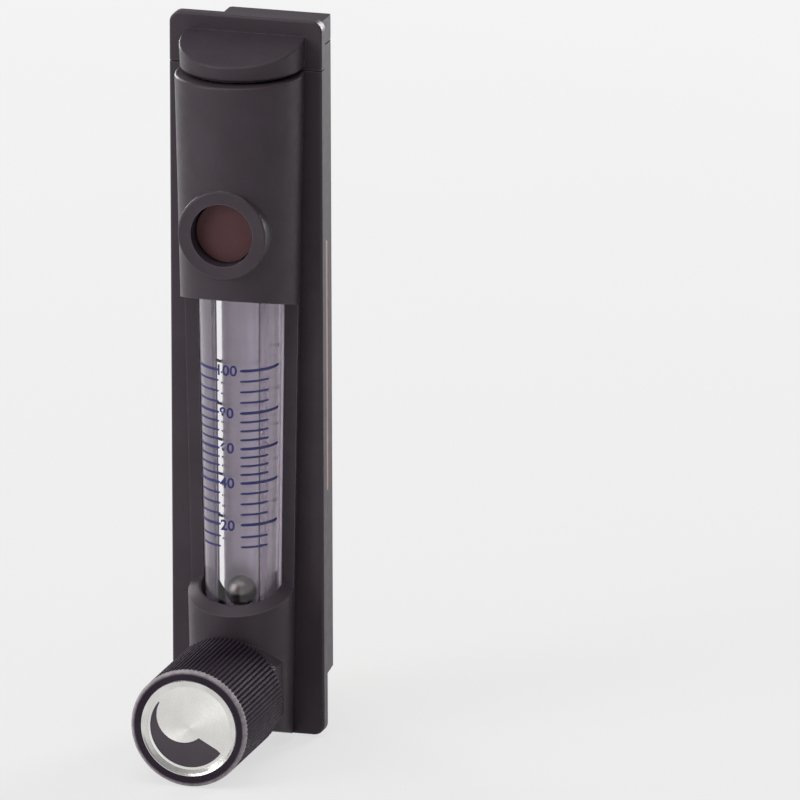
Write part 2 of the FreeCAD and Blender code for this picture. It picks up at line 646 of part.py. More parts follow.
def shape_fairing(body):
    """The tapered round fairing about the tube's axis, lofted from the bezel's bottom edge to the end cap's joint."""
    lower = new_sketch(body, "fairing_foot", "XY_Plane", {"z": "places.plate_bottom"})
    draw_bow(lower, "places.fairing_foot", "places.tube_axis")
    upper = new_sketch(body, "fairing_head", "XY_Plane", {"z": "places.body_top"})
    draw_bow(upper, "places.fairing_head", "places.tube_axis")
    loft(body, "fairing", lower, upper)
    top = worth("places.body_top")
    front = -worth("sizes.plate_thickness")

    def is_rim(edge):
        return lies_at(edge, "Z", top) and edge.BoundBox.YMax < front + 0.01 and not is_straight(edge)

    round_edges(body, "fairing_rim", "sizes.fairing_rim_round", is_rim)
    run = "(places.fairing_head * 2)"
    far = f"-sizes.plate_thickness - {run}"
    under = new_sketch(body, "underside", "YZ_Plane")
    draw_polygon(under, [
        ("-sizes.plate_thickness", "places.plate_bottom"),
        (far, f"places.plate_bottom + {run} * tan(sizes.fairing_foot_slope * 1 deg)"),
        (far, f"places.plate_bottom - {BEYOND}"),
        ("-sizes.plate_thickness", f"places.plate_bottom - {BEYOND}"),
    ])
    cut_across(body, "fairing_underside", under, "places.plate_half * 2")


def cut_window(body):
    """The window: everything in front of the cheeks, between a sloping sill and a sloping head."""
    run = "(places.boss_front + places.cheek_front * -1 - 5)"
    sketch = new_sketch(body, "window_sketch", "YZ_Plane")
    far = f"places.cheek_front + {run}"
    corners = [
        ("places.cheek_front", "places.sill_level"),
        (far, f"places.sill_level + {run} * tan(sizes.sill_slope * 1 deg)"),
        (far, f"places.window_head - {run} * tan(sizes.head_slope * 1 deg)"),
        ("places.cheek_front", "places.window_head"),
    ]
    draw_polygon(sketch, corners)
    cut_across(body, "window", sketch, "places.plate_half * 2")
    sill = worth("places.sill_level")
    fall = math.tan(math.radians(worth("sizes.sill_slope")))
    cheek = worth("places.cheek_front")

    def is_sill_rim(edge):
        on_sill = all(near(v.Z, sill + (v.Y - cheek) * fall) for v in edge.Vertexes)
        return on_sill and not is_straight(edge) and edge.BoundBox.YMin < cheek - 1

    rim = round_edges(body, "sill_rim", "sizes.sill_bevel_down", is_sill_rim, "Chamfer")
    rim.ChamferType = "Two distances"
    rim.setExpression("Size2", "sizes.sill_bevel_across")
    doc.recompute()


def cut_channel(body):
    """The tapered round channel that the tube and the blocks' round fronts sit in, open at the top."""
    sketch = new_sketch(body, "channel_sketch", "YZ_Plane", {"x": "places.tube_axis"})
    top = f"places.body_top + {BEYOND}"
    corners = [
        ("0", "places.channel_floor"),
        ("places.channel_foot", "places.channel_floor"),
        ("places.channel_foot", "places.foot_level"),
        ("places.channel_head", "places.head_level"),
        ("places.channel_head", top),
        ("0", top),
    ]
    draw_polygon(sketch, corners)
    turn(body, "Groove", "channel", sketch, "V_Axis")


def cut_cavity(body):
    """The square cavity of the rear case, open at the top."""
    sketch = new_sketch(body, "cavity_sketch", "XY_Plane", {"z": f"places.body_top + {BEYOND}"})
    draw_rectangle(sketch, "-places.cavity_half", "places.cavity_half", "sizes.block_front - sizes.case_front", "places.cavity_back")
    add_feature(body, "Pocket", "cavity", sketch, f"places.body_top + {BEYOND} - places.cavity_floor")


def add_boss(body, name, front, draw, *outline):
    """A boss in front of the fairing, from the tube's axis forward."""
    sketch = new_sketch(body, name + "_sketch", "XZ_Plane", {"z": "-(places.tube_axis)"})
    draw(sketch, *outline)
    add_feature(body, "Pad", name, sketch, f"places.tube_axis - ({front})")


def make_housing():
    """Bezel, fairing and rear case in one moulding."""
    body = new_body("housing")
    shape_bezel(body, "places.plate_bottom", "places.body_top", "places.plate_bottom")
    shape_case(body, "places.case_bottom", "places.body_top")
    slope_case_foot(body)
    shape_fairing(body)
    cut_window(body)
    add_boss(body, "valve_boss", "places.boss_front", draw_flatted_circle, "sizes.boss_radius",
             "sizes.boss_half_width", "places.valve_level")
    add_boss(body, "plug_boss", "places.plug_front", draw_circle, "sizes.plug_boss_radius", "0",
             "places.plug_level")
    station = worth("places.plug_front")

    def is_plug_boss_edge(edge):
        return lies_at(edge, "Y", station)

    round_edges(body, "plug_boss_edge", "sizes.boss_round", is_plug_boss_edge)
    cut_channel(body)
    cut_cavity(body)
    cut_round(body, "valve_bore", "sizes.boss_bore", "places.boss_front", "places.tube_axis", "places.valve_level")
    cut_round(body, "plug_bore", "sizes.plug_bore", "places.plug_front", "places.tube_axis", "places.plug_level")
    for name in ("inlet", "outlet"):
        cut_round(body, name + "_hole", "sizes.fitting_radius + sizes.fitting_gap", "places.cavity_back - 1",
                  f"sizes.case_depth + {BEYOND}", f"places.{name}_level")
    return body


def make_end_cap():
    """The bezel's top, the lid of the rear case and the half-round finger grip in one moulding."""
    body = new_body("end_cap")
    shape_bezel(body, "places.cap_bottom", "places.plate_top", "places.plate_top")
    shape_case(body, "places.cap_bottom", "places.case_top")
    lower = new_sketch(body, "grip_foot", "XY_Plane", {"z": "places.grip_bottom"})
    draw_half_round(lower, "places.grip_radius - sizes.grip_undercut", "places.grip_axis")
    upper = new_sketch(body, "grip_head", "XY_Plane", {"z": "places.grip_rear_top"})
    draw_half_round(upper, "places.grip_radius", "places.grip_axis")
    loft(body, "grip", lower, upper)
    slope = new_sketch(body, "grip_slope", "YZ_Plane")
    run = "(places.grip_radius - places.grip_axis)"
    corners = [
        ("-sizes.plate_thickness", "places.grip_rear_top"),
        (f"-sizes.plate_thickness - {run}", f"places.grip_rear_top - {run} * tan(sizes.grip_slope * 1 deg)"),
        (f"-sizes.plate_thickness - {run}", f"places.grip_rear_top + {BEYOND}"),
        ("-sizes.plate_thickness", f"places.grip_rear_top + {BEYOND}"),
    ]
    draw_polygon(slope, corners)
    cut_across(body, "grip_top", slope, "places.plate_half * 2")
    plate_front = -worth("sizes.plate_thickness")
    foot = worth("places.grip_bottom")
    rise = worth("places.grip_rear_top")
    fall = math.tan(math.radians(worth("sizes.grip_slope")))

    def is_grip_rim(edge):
        on_slope = all(near(v.Z, rise + (v.Y - plate_front) * fall) for v in edge.Vertexes)
        return on_slope and not is_straight(edge)

    def is_grip_foot(edge):
        return lies_at(edge, "Z", foot) and not is_straight(edge)

    round_edges(body, "grip_rim", "sizes.grip_rim_round", is_grip_rim)
    round_edges(body, "grip_foot_edge", "sizes.grip_foot_round", is_grip_foot)
    neck = new_sketch(body, "neck_sketch", "XY_Plane", {"z": "places.cap_bottom"})
    draw_half_round(neck, "places.grip_radius - sizes.grip_neck_inset", "places.grip_axis")
    add_feature(body, "Pad", "neck", neck, "places.grip_bottom - places.cap_bottom + sizes.split_gap")
    lip = new_sketch(body, "lip_sketch", "XY_Plane", {"z": "places.cap_bottom - sizes.lip_depth"})
    side = "(places.cavity_half - sizes.lip_gap)"
    draw_rectangle(lip, f"-{side}", side, "sizes.block_front", "places.cavity_back - sizes.lip_gap")
    add_feature(body, "Pad", "lip", lip, "sizes.lip_depth + sizes.case_wall")
    hollow = new_sketch(body, "hollow_sketch", "XY_Plane", {"z": "places.cap_bottom - sizes.lip_depth"})
    inner = "(places.cavity_half - sizes.lip_gap - sizes.lip_wall)"
    draw_rectangle(hollow, f"-{inner}", inner, "sizes.block_front + sizes.lip_wall",
                   "places.cavity_back - sizes.lip_gap - sizes.lip_wall")
    add_feature(body, "Pocket", "hollow", hollow,
                "places.case_top - sizes.case_wall - places.cap_bottom + sizes.lip_depth", reverse=True)
    return body


# ---- Flow tube --------------------------------------------------------------------------------------


def make_flow_tube():
    """The clear tapered tube, with a tapered bore and a turned-down spigot at each end."""
    foot = "places.foot_level"
    head = "places.head_level"
    shoulder = "(places.foot_level + sizes.spigot_length)"
    top_shoulder = "(places.head_level - sizes.spigot_length)"
    return turned_along_z("flow_tube", [
        ("sizes.bore_foot_radius", foot),
        ("sizes.spigot_radius", foot),
        ("sizes.spigot_radius", shoulder),
        ("sizes.tube_foot_radius", shoulder),
        ("sizes.tube_head_radius", top_shoulder),
        ("sizes.spigot_radius", top_shoulder),
        ("sizes.spigot_radius", head),
        ("sizes.bore_head_radius", head),
    ])


def make_float_stop(label, radius, low, high):
    """A perforated plug that keeps the ball in the bore."""
    body = turned_along_z(label, [("0", low), (radius, low), (radius, high), ("0", high)])
    sketch = new_sketch(body, "hole_sketch", "XY_Plane", {"z": f"{high} + {BEYOND}"})
    draw_circle(sketch, "sizes.stop_hole_radius", "sizes.stop_hole_circle", "0")
    hole = add_feature(body, "Pocket", "hole", sketch, f"{high} - ({low}) + {2 * BEYOND}")
    pattern = body.newObject("PartDesign::PolarPattern", "holes_of_" + label)
    pattern.Originals = [hole]
    pattern.Axis = (sketch, ["N_Axis"])
    pattern.Angle = FULL_TURN
    pattern.Occurrences = STOP_HOLES
    body.Tip = pattern
    doc.recompute()
    return body


def make_ball():
    """The ball float, resting just above its lower stop."""
    ball = primitive("Sphere", "ball", {"Radius": "sizes.ball_radius"},
                     {"y": "places.tube_axis", "z": "places.ball_level"})
    ball.Label = "float_ball"
    return ball


def make_backing():
    """The white shell behind the tube, following its taper."""
    low = "places.lower_block_top"
    high = "places.upper_block_bottom"
    body = new_body("scale_backing", {"y": "places.tube_axis"})
    sketch = new_sketch(body, "profile", "YZ_Plane")
    inner = "sizes.backing_gap"
    outer = "sizes.backing_gap + sizes.backing_wall"
    draw_polygon(sketch, [
        (f"sizes.tube_foot_radius + {inner}", low),
        (f"sizes.tube_foot_radius + {outer}", low),
        (f"sizes.tube_head_radius + {outer}", high),
        (f"sizes.tube_head_radius + {inner}", high),
    ])
    turn(body, "Revolution", "shell", sketch, "V_Axis")
    front = new_sketch(body, "front_sketch", "XZ_Plane", {"z": "-sizes.backing_front"})
    reach = f"(places.channel_head + {BEYOND})"
    draw_rectangle(front, f"-{reach}", reach, f"{low} - {BEYOND}", f"{high} + {BEYOND}")
    add_feature(body, "Pocket", "front", front, reach, reverse=True)
    return body


# ---- Blocks and ports -------------------------------------------------------------------------------


def block_form(name, low, low_round, high):
    """A block's plain form: round in front, square behind."""
    bow = upright(name + "_bow", "sizes.block_radius", low_round, high, "places.tube_axis")
    rear = box(name + "_rear", "-sizes.block_half_width", "sizes.block_half_width",
               "sizes.block_front", "places.cavity_back", low, high)
    web = box(name + "_web", "-sizes.spigot_radius / 2", "sizes.spigot_radius / 2",
              "places.tube_axis", "sizes.block_front + 1", low, high)
    return fuse(name + "_form", [bow, rear, web])


def port_tools(name, level, passage_front, passage_radius):
    """What a port takes out of its block: the fitting's hole and the passage behind it."""
    hole = level_rod(name + "_hole", "sizes.fitting_radius + sizes.fitting_gap", "places.port_floor",
                     f"places.cavity_back + {BEYOND}", level)
    passage = level_rod(name + "_passage", passage_radius, passage_front, "places.port_floor + 1", level)
    return [hole, passage]


def seat_tools(name, level, end):
    """What a bonnet or plug takes out of its block: the spot face, the thread and the seal's step."""
    face = level_rod(name + "_face", "sizes.seat_face_radius",
                     f"places.seat_station - {BEYOND}", "places.seat_station", level)
    thread = level_rod(name + "_thread", "sizes.barrel_radius + sizes.barrel_gap",
                       "places.seat_station - 1", end, level)
    return [face, thread]


def make_lower_block():
    """The lower block, with the tube's socket, the metering chamber, the feed and the inlet."""
    form = block_form("lower", "places.cavity_floor", "places.channel_floor", "places.lower_block_top")
    socket_floor = "(places.foot_level - sizes.gasket_thick)"
    socket = upright("lower_socket", "sizes.spigot_radius + sizes.socket_gap", socket_floor,
                     f"places.lower_block_top + {BEYOND}", "places.tube_axis")
    plenum = upright("lower_plenum", "sizes.plenum_radius", f"{socket_floor} - sizes.plenum_depth",
                     f"{socket_floor} + 1", "places.tube_axis")
    riser = upright("lower_riser", "sizes.riser_radius", "places.valve_level",
                    f"{socket_floor} - sizes.plenum_depth / 2", "places.tube_axis + sizes.riser_back")
    chamber = level_rod("lower_chamber", "sizes.chamber_radius", "places.seal_end - 1",
                        "sizes.chamber_end", "places.valve_level")
    feed = level_rod("lower_feed", "sizes.feed_radius", "sizes.chamber_end - 1",
                     "sizes.feed_back + sizes.passage_radius", "places.valve_level")
    lift = upright("lower_lift", "sizes.lift_radius", "places.valve_level", "places.inlet_level", "sizes.feed_back")
    tools = [socket, plenum, riser, chamber, feed, lift]
    tools += seat_tools("valve", "places.valve_level", "places.seal_end")
    tools += port_tools("inlet", "places.inlet_level", "sizes.feed_back - sizes.passage_radius", "sizes.passage_radius")
    return cut("lower_block", form, tools)


def make_upper_block():
    """The upper block, with the tube's socket, the plug's thread and the outlet."""
    form = block_form("upper", "places.upper_block_bottom", "places.upper_block_bottom", "places.upper_block_top")
    socket_roof = "(places.head_level + sizes.gasket_thick)"
    socket = upright("upper_socket", "sizes.spigot_radius + sizes.socket_gap",
                     f"places.upper_block_bottom - {BEYOND}", socket_roof, "places.tube_axis")
    passage = upright("upper_passage", "sizes.passage_radius", f"{socket_roof} - 1", "places.outlet_level",
                      "places.tube_axis")
    tools = [socket, passage]
    tools += seat_tools("plug", "places.plug_level", "places.seal_end + sizes.passage_radius")
    tools += port_tools("outlet", "places.outlet_level", "places.tube_axis", "sizes.passage_radius")
    return cut("upper_block", form, tools)


def make_fitting(name):
    """A hexagon-headed fitting screwed into its block through the case's rear wall."""
    body = turned_along_y(name + "_fitting", [
        ("places.fitting_inner", "sizes.passage_radius"),
        ("places.fitting_inner", "sizes.fitting_radius"),
        ("sizes.case_depth + 1", "sizes.fitting_radius"),
        ("sizes.case_depth + 1", "sizes.passage_radius"),
    ], f"places.{name}_level")
    sketch = new_sketch(body, "hexagon", "XZ_Plane", {"z": "-sizes.case_depth"})
    corner = "(sizes.fitting_flat / cos(30 deg))"
    draw_polygon(sketch, [(f"{corner} * cos({angle} deg)", f"{corner} * sin({angle} deg)")
                          for angle in range(30, 360, 60)])
    add_feature(body, "Pad", "head", sketch, "sizes.fitting_head", reverse=True)
    mouth = new_sketch(body, "mouth", "XZ_Plane", {"z": "-places.fitting_outer"})
    draw_circle(mouth, "sizes.port_radius")
    add_feature(body, "Pocket", "port", mouth, "sizes.port_length", reverse=True)
    return body


def make_port_seal(name):
    """The O-ring between a fitting's end and its block."""
    return level_ring(name + "_seal", "sizes.port_seal_radius", "sizes.port_seal_thick",
                      "places.fitting_inner - sizes.port_seal_thick / 2", f"places.{name}_level")


# ---- Valve ------------------------------------------------------------------------------------------


def make_bonnet():
    """The brass bonnet: barrel, flange and neck, with the stem's thread and the needle's counterbore."""
    counterbore = "(sizes.collar_radius + sizes.collar_gap)"
    thread = "(sizes.stem_radius + sizes.stem_gap)"
    return turned_along_y("valve_bonnet", [
        ("places.neck_front", thread),
        ("places.neck_front", "sizes.neck_radius"),
        ("places.flange_front", "sizes.neck_radius"),
        ("places.flange_front", "sizes.flange_radius"),
        ("places.seat_station", "sizes.flange_radius"),
        ("places.seat_station", "sizes.barrel_radius"),
        ("places.barrel_end", "sizes.barrel_radius"),
        ("places.barrel_end", counterbore),
        ("places.collar_stop", counterbore),
        ("places.collar_stop", thread),
    ], "places.valve_level")


def make_gland_nut():
    """The hexagonal gland nut over the bonnet's neck."""
    body = new_body("gland_nut", {"z": "places.valve_level"})
    sketch = new_sketch(body, "hexagon", "XZ_Plane", {"z": "-(places.nut_front)"})
    corner = "(sizes.nut_flat / cos(30 deg))"
    draw_polygon(sketch, [(f"{corner} * cos({angle} deg)", f"{corner} * sin({angle} deg)")
                          for angle in range(0, 360, 60)])
    add_feature(body, "Pad", "nut", sketch, "sizes.nut_length", reverse=True)
    cut_round(body, "stem_hole", "sizes.stem_radius + sizes.stem_gap", f"places.nut_front - {BEYOND}",
              "places.nut_front + sizes.nut_lip", "0")
    cut_round(body, "neck_hole", "sizes.neck_radius + sizes.stem_gap", "places.nut_front + sizes.nut_lip",
              f"places.nut_front + sizes.nut_length + {BEYOND}", "0")
    return body


def make_packing():
    """The packing ring that the gland nut squeezes round the stem."""
    back = "places.neck_front"
    front = "(places.neck_front - sizes.packing_thick)"
    inner = "(sizes.stem_radius + sizes.stem_gap)"
    return turned_along_y("stem_packing", [
        (front, inner), (front, "sizes.neck_radius"), (back, "sizes.neck_radius"), (back, inner),
    ], "places.valve_level")


def make_valve_seat():
    """The pressed-in seat with its countersunk orifice."""
    back = "sizes.chamber_end"
    front = "(sizes.chamber_end - sizes.seat_length)"
    return turned_along_y("valve_seat", [
        (front, "sizes.orifice_radius"),
        (front, "sizes.seat_radius"),
        (back, "sizes.seat_radius"),
        (back, "sizes.orifice_radius + sizes.seat_length / 4"),
        (f"{back} - sizes.seat_length / 4", "sizes.orifice_radius"),
    ], "places.valve_level")


def make_needle():
    """The needle with its sealed collar, hung on the stem by a captive swivel."""
    groove_front = "(places.collar_front + sizes.groove_inset)"
    groove_back = f"({groove_front} + sizes.groove_width)"
    collar_back = "-sizes.collar_back"
    bore = "(sizes.swivel_neck + sizes.swivel_gap)"
    pocket = "(sizes.swivel_head + sizes.swivel_gap)"
    pocket_front = f"({groove_back} - sizes.groove_width / 2)"
    pocket_back = "(-sizes.collar_back - sizes.swivel_neck)"
    return turned_along_y("valve_needle", [
        ("places.collar_front", bore),
        ("places.collar_front", "sizes.collar_radius"),
        (groove_front, "sizes.collar_radius"),
        (groove_front, "sizes.groove_floor"),
        (groove_back, "sizes.groove_floor"),
        (groove_back, "sizes.collar_radius"),
        (collar_back, "sizes.collar_radius"),
        (collar_back, "sizes.needle_radius"),
        ("sizes.needle_reach - sizes.needle_cone", "sizes.needle_radius"),
        ("sizes.needle_reach", "sizes.needle_tip"),
        ("sizes.needle_reach", "0"),
        (pocket_back, "0"),
        (pocket_back, pocket),
        (pocket_front, pocket),
        (pocket_front, bore),
    ], "places.valve_level")


def make_stem():
    """The threaded stem with its captive swivel at the rear end."""
    head_front = ("(places.collar_front + sizes.groove_inset + sizes.groove_width / 2 + sizes.swivel_gap)")
    head_back = "(-sizes.collar_back - sizes.swivel_neck - sizes.swivel_gap)"
    shoulder = "(places.collar_front - 0.3)"
    return turned_along_y("valve_stem", [
        ("places.stem_end", "0"),
        ("places.stem_end", "sizes.stem_radius"),
        (shoulder, "sizes.stem_radius"),
        (shoulder, "sizes.swivel_neck"),
        (head_front, "sizes.swivel_neck"),
        (head_front, "sizes.swivel_head"),
        (head_back, "sizes.swivel_head"),
        (head_back, "0"),
    ], "places.valve_level")


# ---- Knob -------------------------------------------------------------------------------------------


def make_knob():
    """The moulded knob: skirt, front wall, hub, recess for the inlay and a fine straight knurl."""
    inside = "(sizes.knob_radius - sizes.knob_wall)"
    face_back = "(places.knob_front + sizes.knob_face)"
    recess = "(sizes.inlay_radius + sizes.inlay_gap)"
    hub_bore = "(sizes.insert_radius + sizes.insert_gap)"
    body = turned_along_y("knob", [
        ("places.inlay_back", "0"),
        ("places.inlay_back", recess),
        ("places.knob_front", recess),
        ("places.knob_front", "sizes.knob_radius - sizes.knob_rim_round"),
        ("places.knob_front + sizes.knob_rim_round", "sizes.knob_radius"),
        ("places.knob_rear", "sizes.knob_radius"),
        ("places.knob_rear", inside),
        (face_back, inside),
        (face_back, "sizes.hub_radius"),
        ("places.hub_rear", "sizes.hub_radius"),
        ("places.hub_rear", hub_bore),
        (face_back, hub_bore),
        (face_back, "0"),
    ], "places.valve_level")
    access = new_sketch(body, "access_sketch", "XY_Plane", {"z": f"-sizes.knob_radius - {BEYOND}"})
    draw_circle(access, "sizes.screw_radius + sizes.screw_access_gap", "0", "places.screw_station")
    add_feature(body, "Pocket", "access", access, f"sizes.knob_radius - sizes.stem_radius + {BEYOND}", reverse=True)
    knurl_body(body)
    return body


def knurl_body(body):
    """Cut one V groove along the knob and repeat it round the axis."""
    sketch = new_sketch(body, "knurl_sketch", "XZ_Plane", {"z": "-(places.knob_front + sizes.knurl_land)"})
    outside = "(sizes.knob_radius + sizes.knurl_depth)"
    draw_polygon(sketch, [
        ("-sizes.knurl_width", outside),
        ("0", "sizes.knob_radius - sizes.knurl_depth"),
        ("sizes.knurl_width", outside),
    ])
    groove = add_feature(body, "Pocket", "knurl_groove", sketch, f"sizes.knob_length + {BEYOND}")
    pattern = body.newObject("PartDesign::PolarPattern", "knurl")
    pattern.Originals = [groove]
    pattern.Axis = (sketch, ["N_Axis"])
    pattern.Angle = FULL_TURN
    bind(pattern, {"Occurrences": "sizes.knurl_count"})
    body.Tip = pattern
    doc.recompute()


def make_insert():
    """The brass insert moulded into the knob's hub."""
    front = "(places.knob_front + sizes.knob_face)"
    bore = "(sizes.stem_radius + sizes.insert_gap)"
    body = turned_along_y("knob_insert", [
        (front, bore), (front, "sizes.insert_radius"), ("places.hub_rear", "sizes.insert_radius"),
        ("places.hub_rear", bore),
    ], "places.valve_level")
    sketch = new_sketch(body, "thread_sketch", "XY_Plane", {"z": f"-sizes.insert_radius - {BEYOND}"})
    draw_circle(sketch, "sizes.screw_radius + sizes.insert_gap", "0", "places.screw_station")
    add_feature(body, "Pocket", "thread", sketch, f"sizes.insert_radius + {BEYOND}", reverse=True)
    return body


def make_set_screw():
    """The headless screw that locks the knob to the stem."""
    top = "(places.valve_level - sizes.stem_radius - sizes.insert_gap)"
    screw = upright("set_screw", "sizes.screw_radius", f"{top} - sizes.screw_length", top, "places.screw_station")
    key = upright("set_screw_key", "sizes.screw_radius / 2", f"{top} - sizes.screw_length - 1",
                  f"{top} - sizes.screw_length / 2", "places.screw_station")
    return cut("knob_set_screw", screw, [key])


def make_inlay():
    """The spun aluminium inlay, with the opening mark as a shallow crescent recess."""
    body = turned_along_y("knob_inlay", [
        ("places.inlay_front", "0"), ("places.inlay_front", "sizes.inlay_radius"),
        ("places.inlay_back", "sizes.inlay_radius"), ("places.inlay_back", "0"),
    ], "places.valve_level")
    sketch = new_sketch(body, "crescent", "XZ_Plane", {"z": "-(places.inlay_front)"})
    draw_crescent(sketch)
    add_feature(body, "Pocket", "mark", sketch, "sizes.crescent_depth")
    return body


def draw_crescent(sketch):
    """Two arcs that meet in a point, closed by a straight cut at the wide end."""
    outer = worth("sizes.crescent_outer")
    inner = worth("sizes.crescent_inner")
    centre = FreeCAD.Vector(-worth("sizes.crescent_left"), worth("sizes.crescent_up"), 0)
    normal = FreeCAD.Vector(0, 0, 1)
    gap = centre.Length
    # The arcs cross where the distance from the origin is the outer radius and from the centre the inner.
    reach = (outer ** 2 - inner ** 2 + gap ** 2) / (2 * gap)
    rise = math.sqrt(max(outer ** 2 - reach ** 2, 0.0))
    along = FreeCAD.Vector(centre).normalize()
    aside = FreeCAD.Vector(-along.y, along.x, 0)
    tip = along * reach + aside * rise
    cut_angle = math.radians(-34.0)
    wide = FreeCAD.Vector(math.cos(cut_angle), math.sin(cut_angle), 0) * outer
    inward_angle = math.radians(-51.0)
    inward = centre + FreeCAD.Vector(math.cos(inward_angle), math.sin(inward_angle), 0) * inner
    tip_angle = math.atan2(tip.y, tip.x)
    tip_inner = math.atan2(tip.y - centre.y, tip.x - centre.x)
    turn_round = 2 * math.pi
    sketch.addGeometry(Part.ArcOfCircle(Part.Circle(FreeCAD.Vector(), normal, outer), tip_angle,
                                        cut_angle + turn_round), False)
    sketch.addGeometry(Part.LineSegment(wide, inward), False)
    sketch.addGeometry(Part.ArcOfCircle(Part.Circle(centre, normal, inner), tip_inner,
                                        inward_angle + turn_round), False)
    sketch.addConstraint(Sketcher.Constraint("Coincident", 0, 2, 1, 1))
    sketch.addConstraint(Sketcher.Constraint("Coincident", 1, 2, 2, 2))
    sketch.addConstraint(Sketcher.Constraint("Coincident", 2, 1, 0, 1))


# ---- Blanking plug ----------------------------------------------------------------------------------


def make_plug():
    """The blanking plug, screwed into the upper block through the plug boss."""
    return turned_along_y("blanking_plug", [
        ("places.disc_back", "0"),
        ("places.disc_back", "sizes.disc_radius"),
        ("places.seat_station", "sizes.disc_radius"),
        ("places.seat_station", "sizes.barrel_radius"),
        ("places.barrel_end", "sizes.barrel_radius"),
        ("places.barrel_end", "0"),
    ], "places.plug_level")


def make_plug_disc():
    """The red-brown disc on the plug's head."""
    disc = level_rod("disc", "sizes.disc_radius", "places.disc_front", "places.disc_back", "places.plug_level")
    disc.Label = "plug_disc"
    return disc


# ---- Assembly ---------------------------------------------------------------------------------------


def make_seals():
    """Every seal ring, each in the space that its neighbours leave."""
    step = "places.barrel_end + sizes.seal_thick / 2"
    groove = "places.collar_front + sizes.groove_inset + sizes.groove_width / 2"
    needle_ring = "sizes.collar_radius + sizes.collar_gap - sizes.seal_thick / 2 - sizes.stem_gap"
    return [
        upright_ring("lower_tube_gasket", "sizes.gasket_mean_radius", "sizes.gasket_thick", "places.gasket_level"),
        upright_ring("upper_tube_gasket", "sizes.gasket_mean_radius", "sizes.gasket_thick",
                     "places.head_gasket_level"),
        make_port_seal("inlet"),
        make_port_seal("outlet"),
        level_ring("bonnet_seal", "sizes.seal_mean_radius", "sizes.seal_thick", step, "places.valve_level"),
        level_ring("plug_seal", "sizes.seal_mean_radius", "sizes.seal_thick", step, "places.plug_level"),
        level_ring("needle_seal", needle_ring, "sizes.seal_thick", groove, "places.valve_level"),
    ]


def make_all():
    """Every sub-part of the rotameter."""
    foot_stop = "sizes.bore_foot_radius - sizes.stop_gap"
    head_stop = "sizes.bore_head_radius - sizes.stop_gap - 0.03"
    pieces = [
        make_housing(),
        make_end_cap(),
        make_lower_block(),
        make_upper_block(),
        make_flow_tube(),
        make_backing(),
        make_float_stop("lower_float_stop", foot_stop, "places.foot_level", "places.foot_stop_top"),
        make_float_stop("upper_float_stop", head_stop, "places.head_level - sizes.head_stop_length",
                        "places.head_level"),
        make_ball(),
        make_fitting("inlet"),
        make_fitting("outlet"),
        make_bonnet(),
        make_gland_nut(),
        make_packing(),
        make_valve_seat(),
        make_needle(),
        make_stem(),
        make_knob(),
        make_insert(),
        make_set_screw(),
        make_inlay(),
        make_plug(),
        make_plug_disc(),
    ]
    return pieces + make_seals()


def check_document():
    """Stop if any object of the document failed to build."""
    for item in doc.Objects:
        if "Invalid" in item.State or "Error" in item.State:
            raise RuntimeError(f"{item.Label} failed: {item.State}")


def export(pieces):
    """Check each sub-part and write it to its own file."""
    os.makedirs("parts", exist_ok=True)
    for piece in pieces:
        shape = piece.Shape
        if shape.isNull() or not shape.isValid() or not shape.Solids:
            raise RuntimeError(f"{piece.Label} has no valid solid")
        shape.exportStep(os.path.join("parts", piece.Label + ".step"))
        print(f"{piece.Label}: {len(shape.Solids)} solid, {shape.Volume:.1f} mm3")


pieces = make_all()
doc.recompute()
check_document()
export(pieces)
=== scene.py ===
"""Looks, light and camera for the panel-mount rotameter.

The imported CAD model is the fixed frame. This script gives each of its nodes a procedural material and adds
what the solids leave out: the printed scale, the blank side label, the turned-up edge of the knob's inlay,
the paint in its opening mark and the threads of the two ports. Everything is in metres, in the CAD frame
(-Y is the front, +Z is up).
"""
import json
import math

import bmesh
import bpy
from mathutils import Matrix, Vector


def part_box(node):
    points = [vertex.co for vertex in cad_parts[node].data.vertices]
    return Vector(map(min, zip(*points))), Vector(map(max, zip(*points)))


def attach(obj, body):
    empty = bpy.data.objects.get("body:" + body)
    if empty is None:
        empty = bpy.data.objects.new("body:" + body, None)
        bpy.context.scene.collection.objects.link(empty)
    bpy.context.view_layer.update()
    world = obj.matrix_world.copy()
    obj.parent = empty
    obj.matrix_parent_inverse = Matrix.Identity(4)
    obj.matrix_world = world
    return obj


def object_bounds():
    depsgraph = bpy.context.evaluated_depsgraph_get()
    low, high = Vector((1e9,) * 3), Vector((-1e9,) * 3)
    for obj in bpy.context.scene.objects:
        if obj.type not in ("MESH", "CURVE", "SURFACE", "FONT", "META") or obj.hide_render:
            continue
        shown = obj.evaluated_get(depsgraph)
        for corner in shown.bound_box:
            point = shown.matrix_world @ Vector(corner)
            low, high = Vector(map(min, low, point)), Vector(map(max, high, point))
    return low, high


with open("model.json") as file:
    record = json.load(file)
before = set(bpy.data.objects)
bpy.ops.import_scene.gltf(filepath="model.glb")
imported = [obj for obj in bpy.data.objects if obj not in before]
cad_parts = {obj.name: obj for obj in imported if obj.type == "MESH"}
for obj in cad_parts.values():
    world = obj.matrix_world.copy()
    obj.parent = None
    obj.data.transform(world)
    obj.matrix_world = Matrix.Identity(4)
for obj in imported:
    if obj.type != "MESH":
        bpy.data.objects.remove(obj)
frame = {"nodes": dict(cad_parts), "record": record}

cad_box = [list(corner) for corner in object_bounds()]

# Camera: where it looks from, how wide it sees, and where the bezel's front bottom edge lies in its view.
AZIMUTH = math.radians(16.7)
ELEVATION = math.radians(15.75)
ROLL = math.radians(0.2)
VIEW_WIDTH = 0.1668
CAMERA_DISTANCE = 7.0
SENSOR = 36.0
LEFT_OF_CENTRE = 0.0316
BELOW_CENTRE = 0.06875

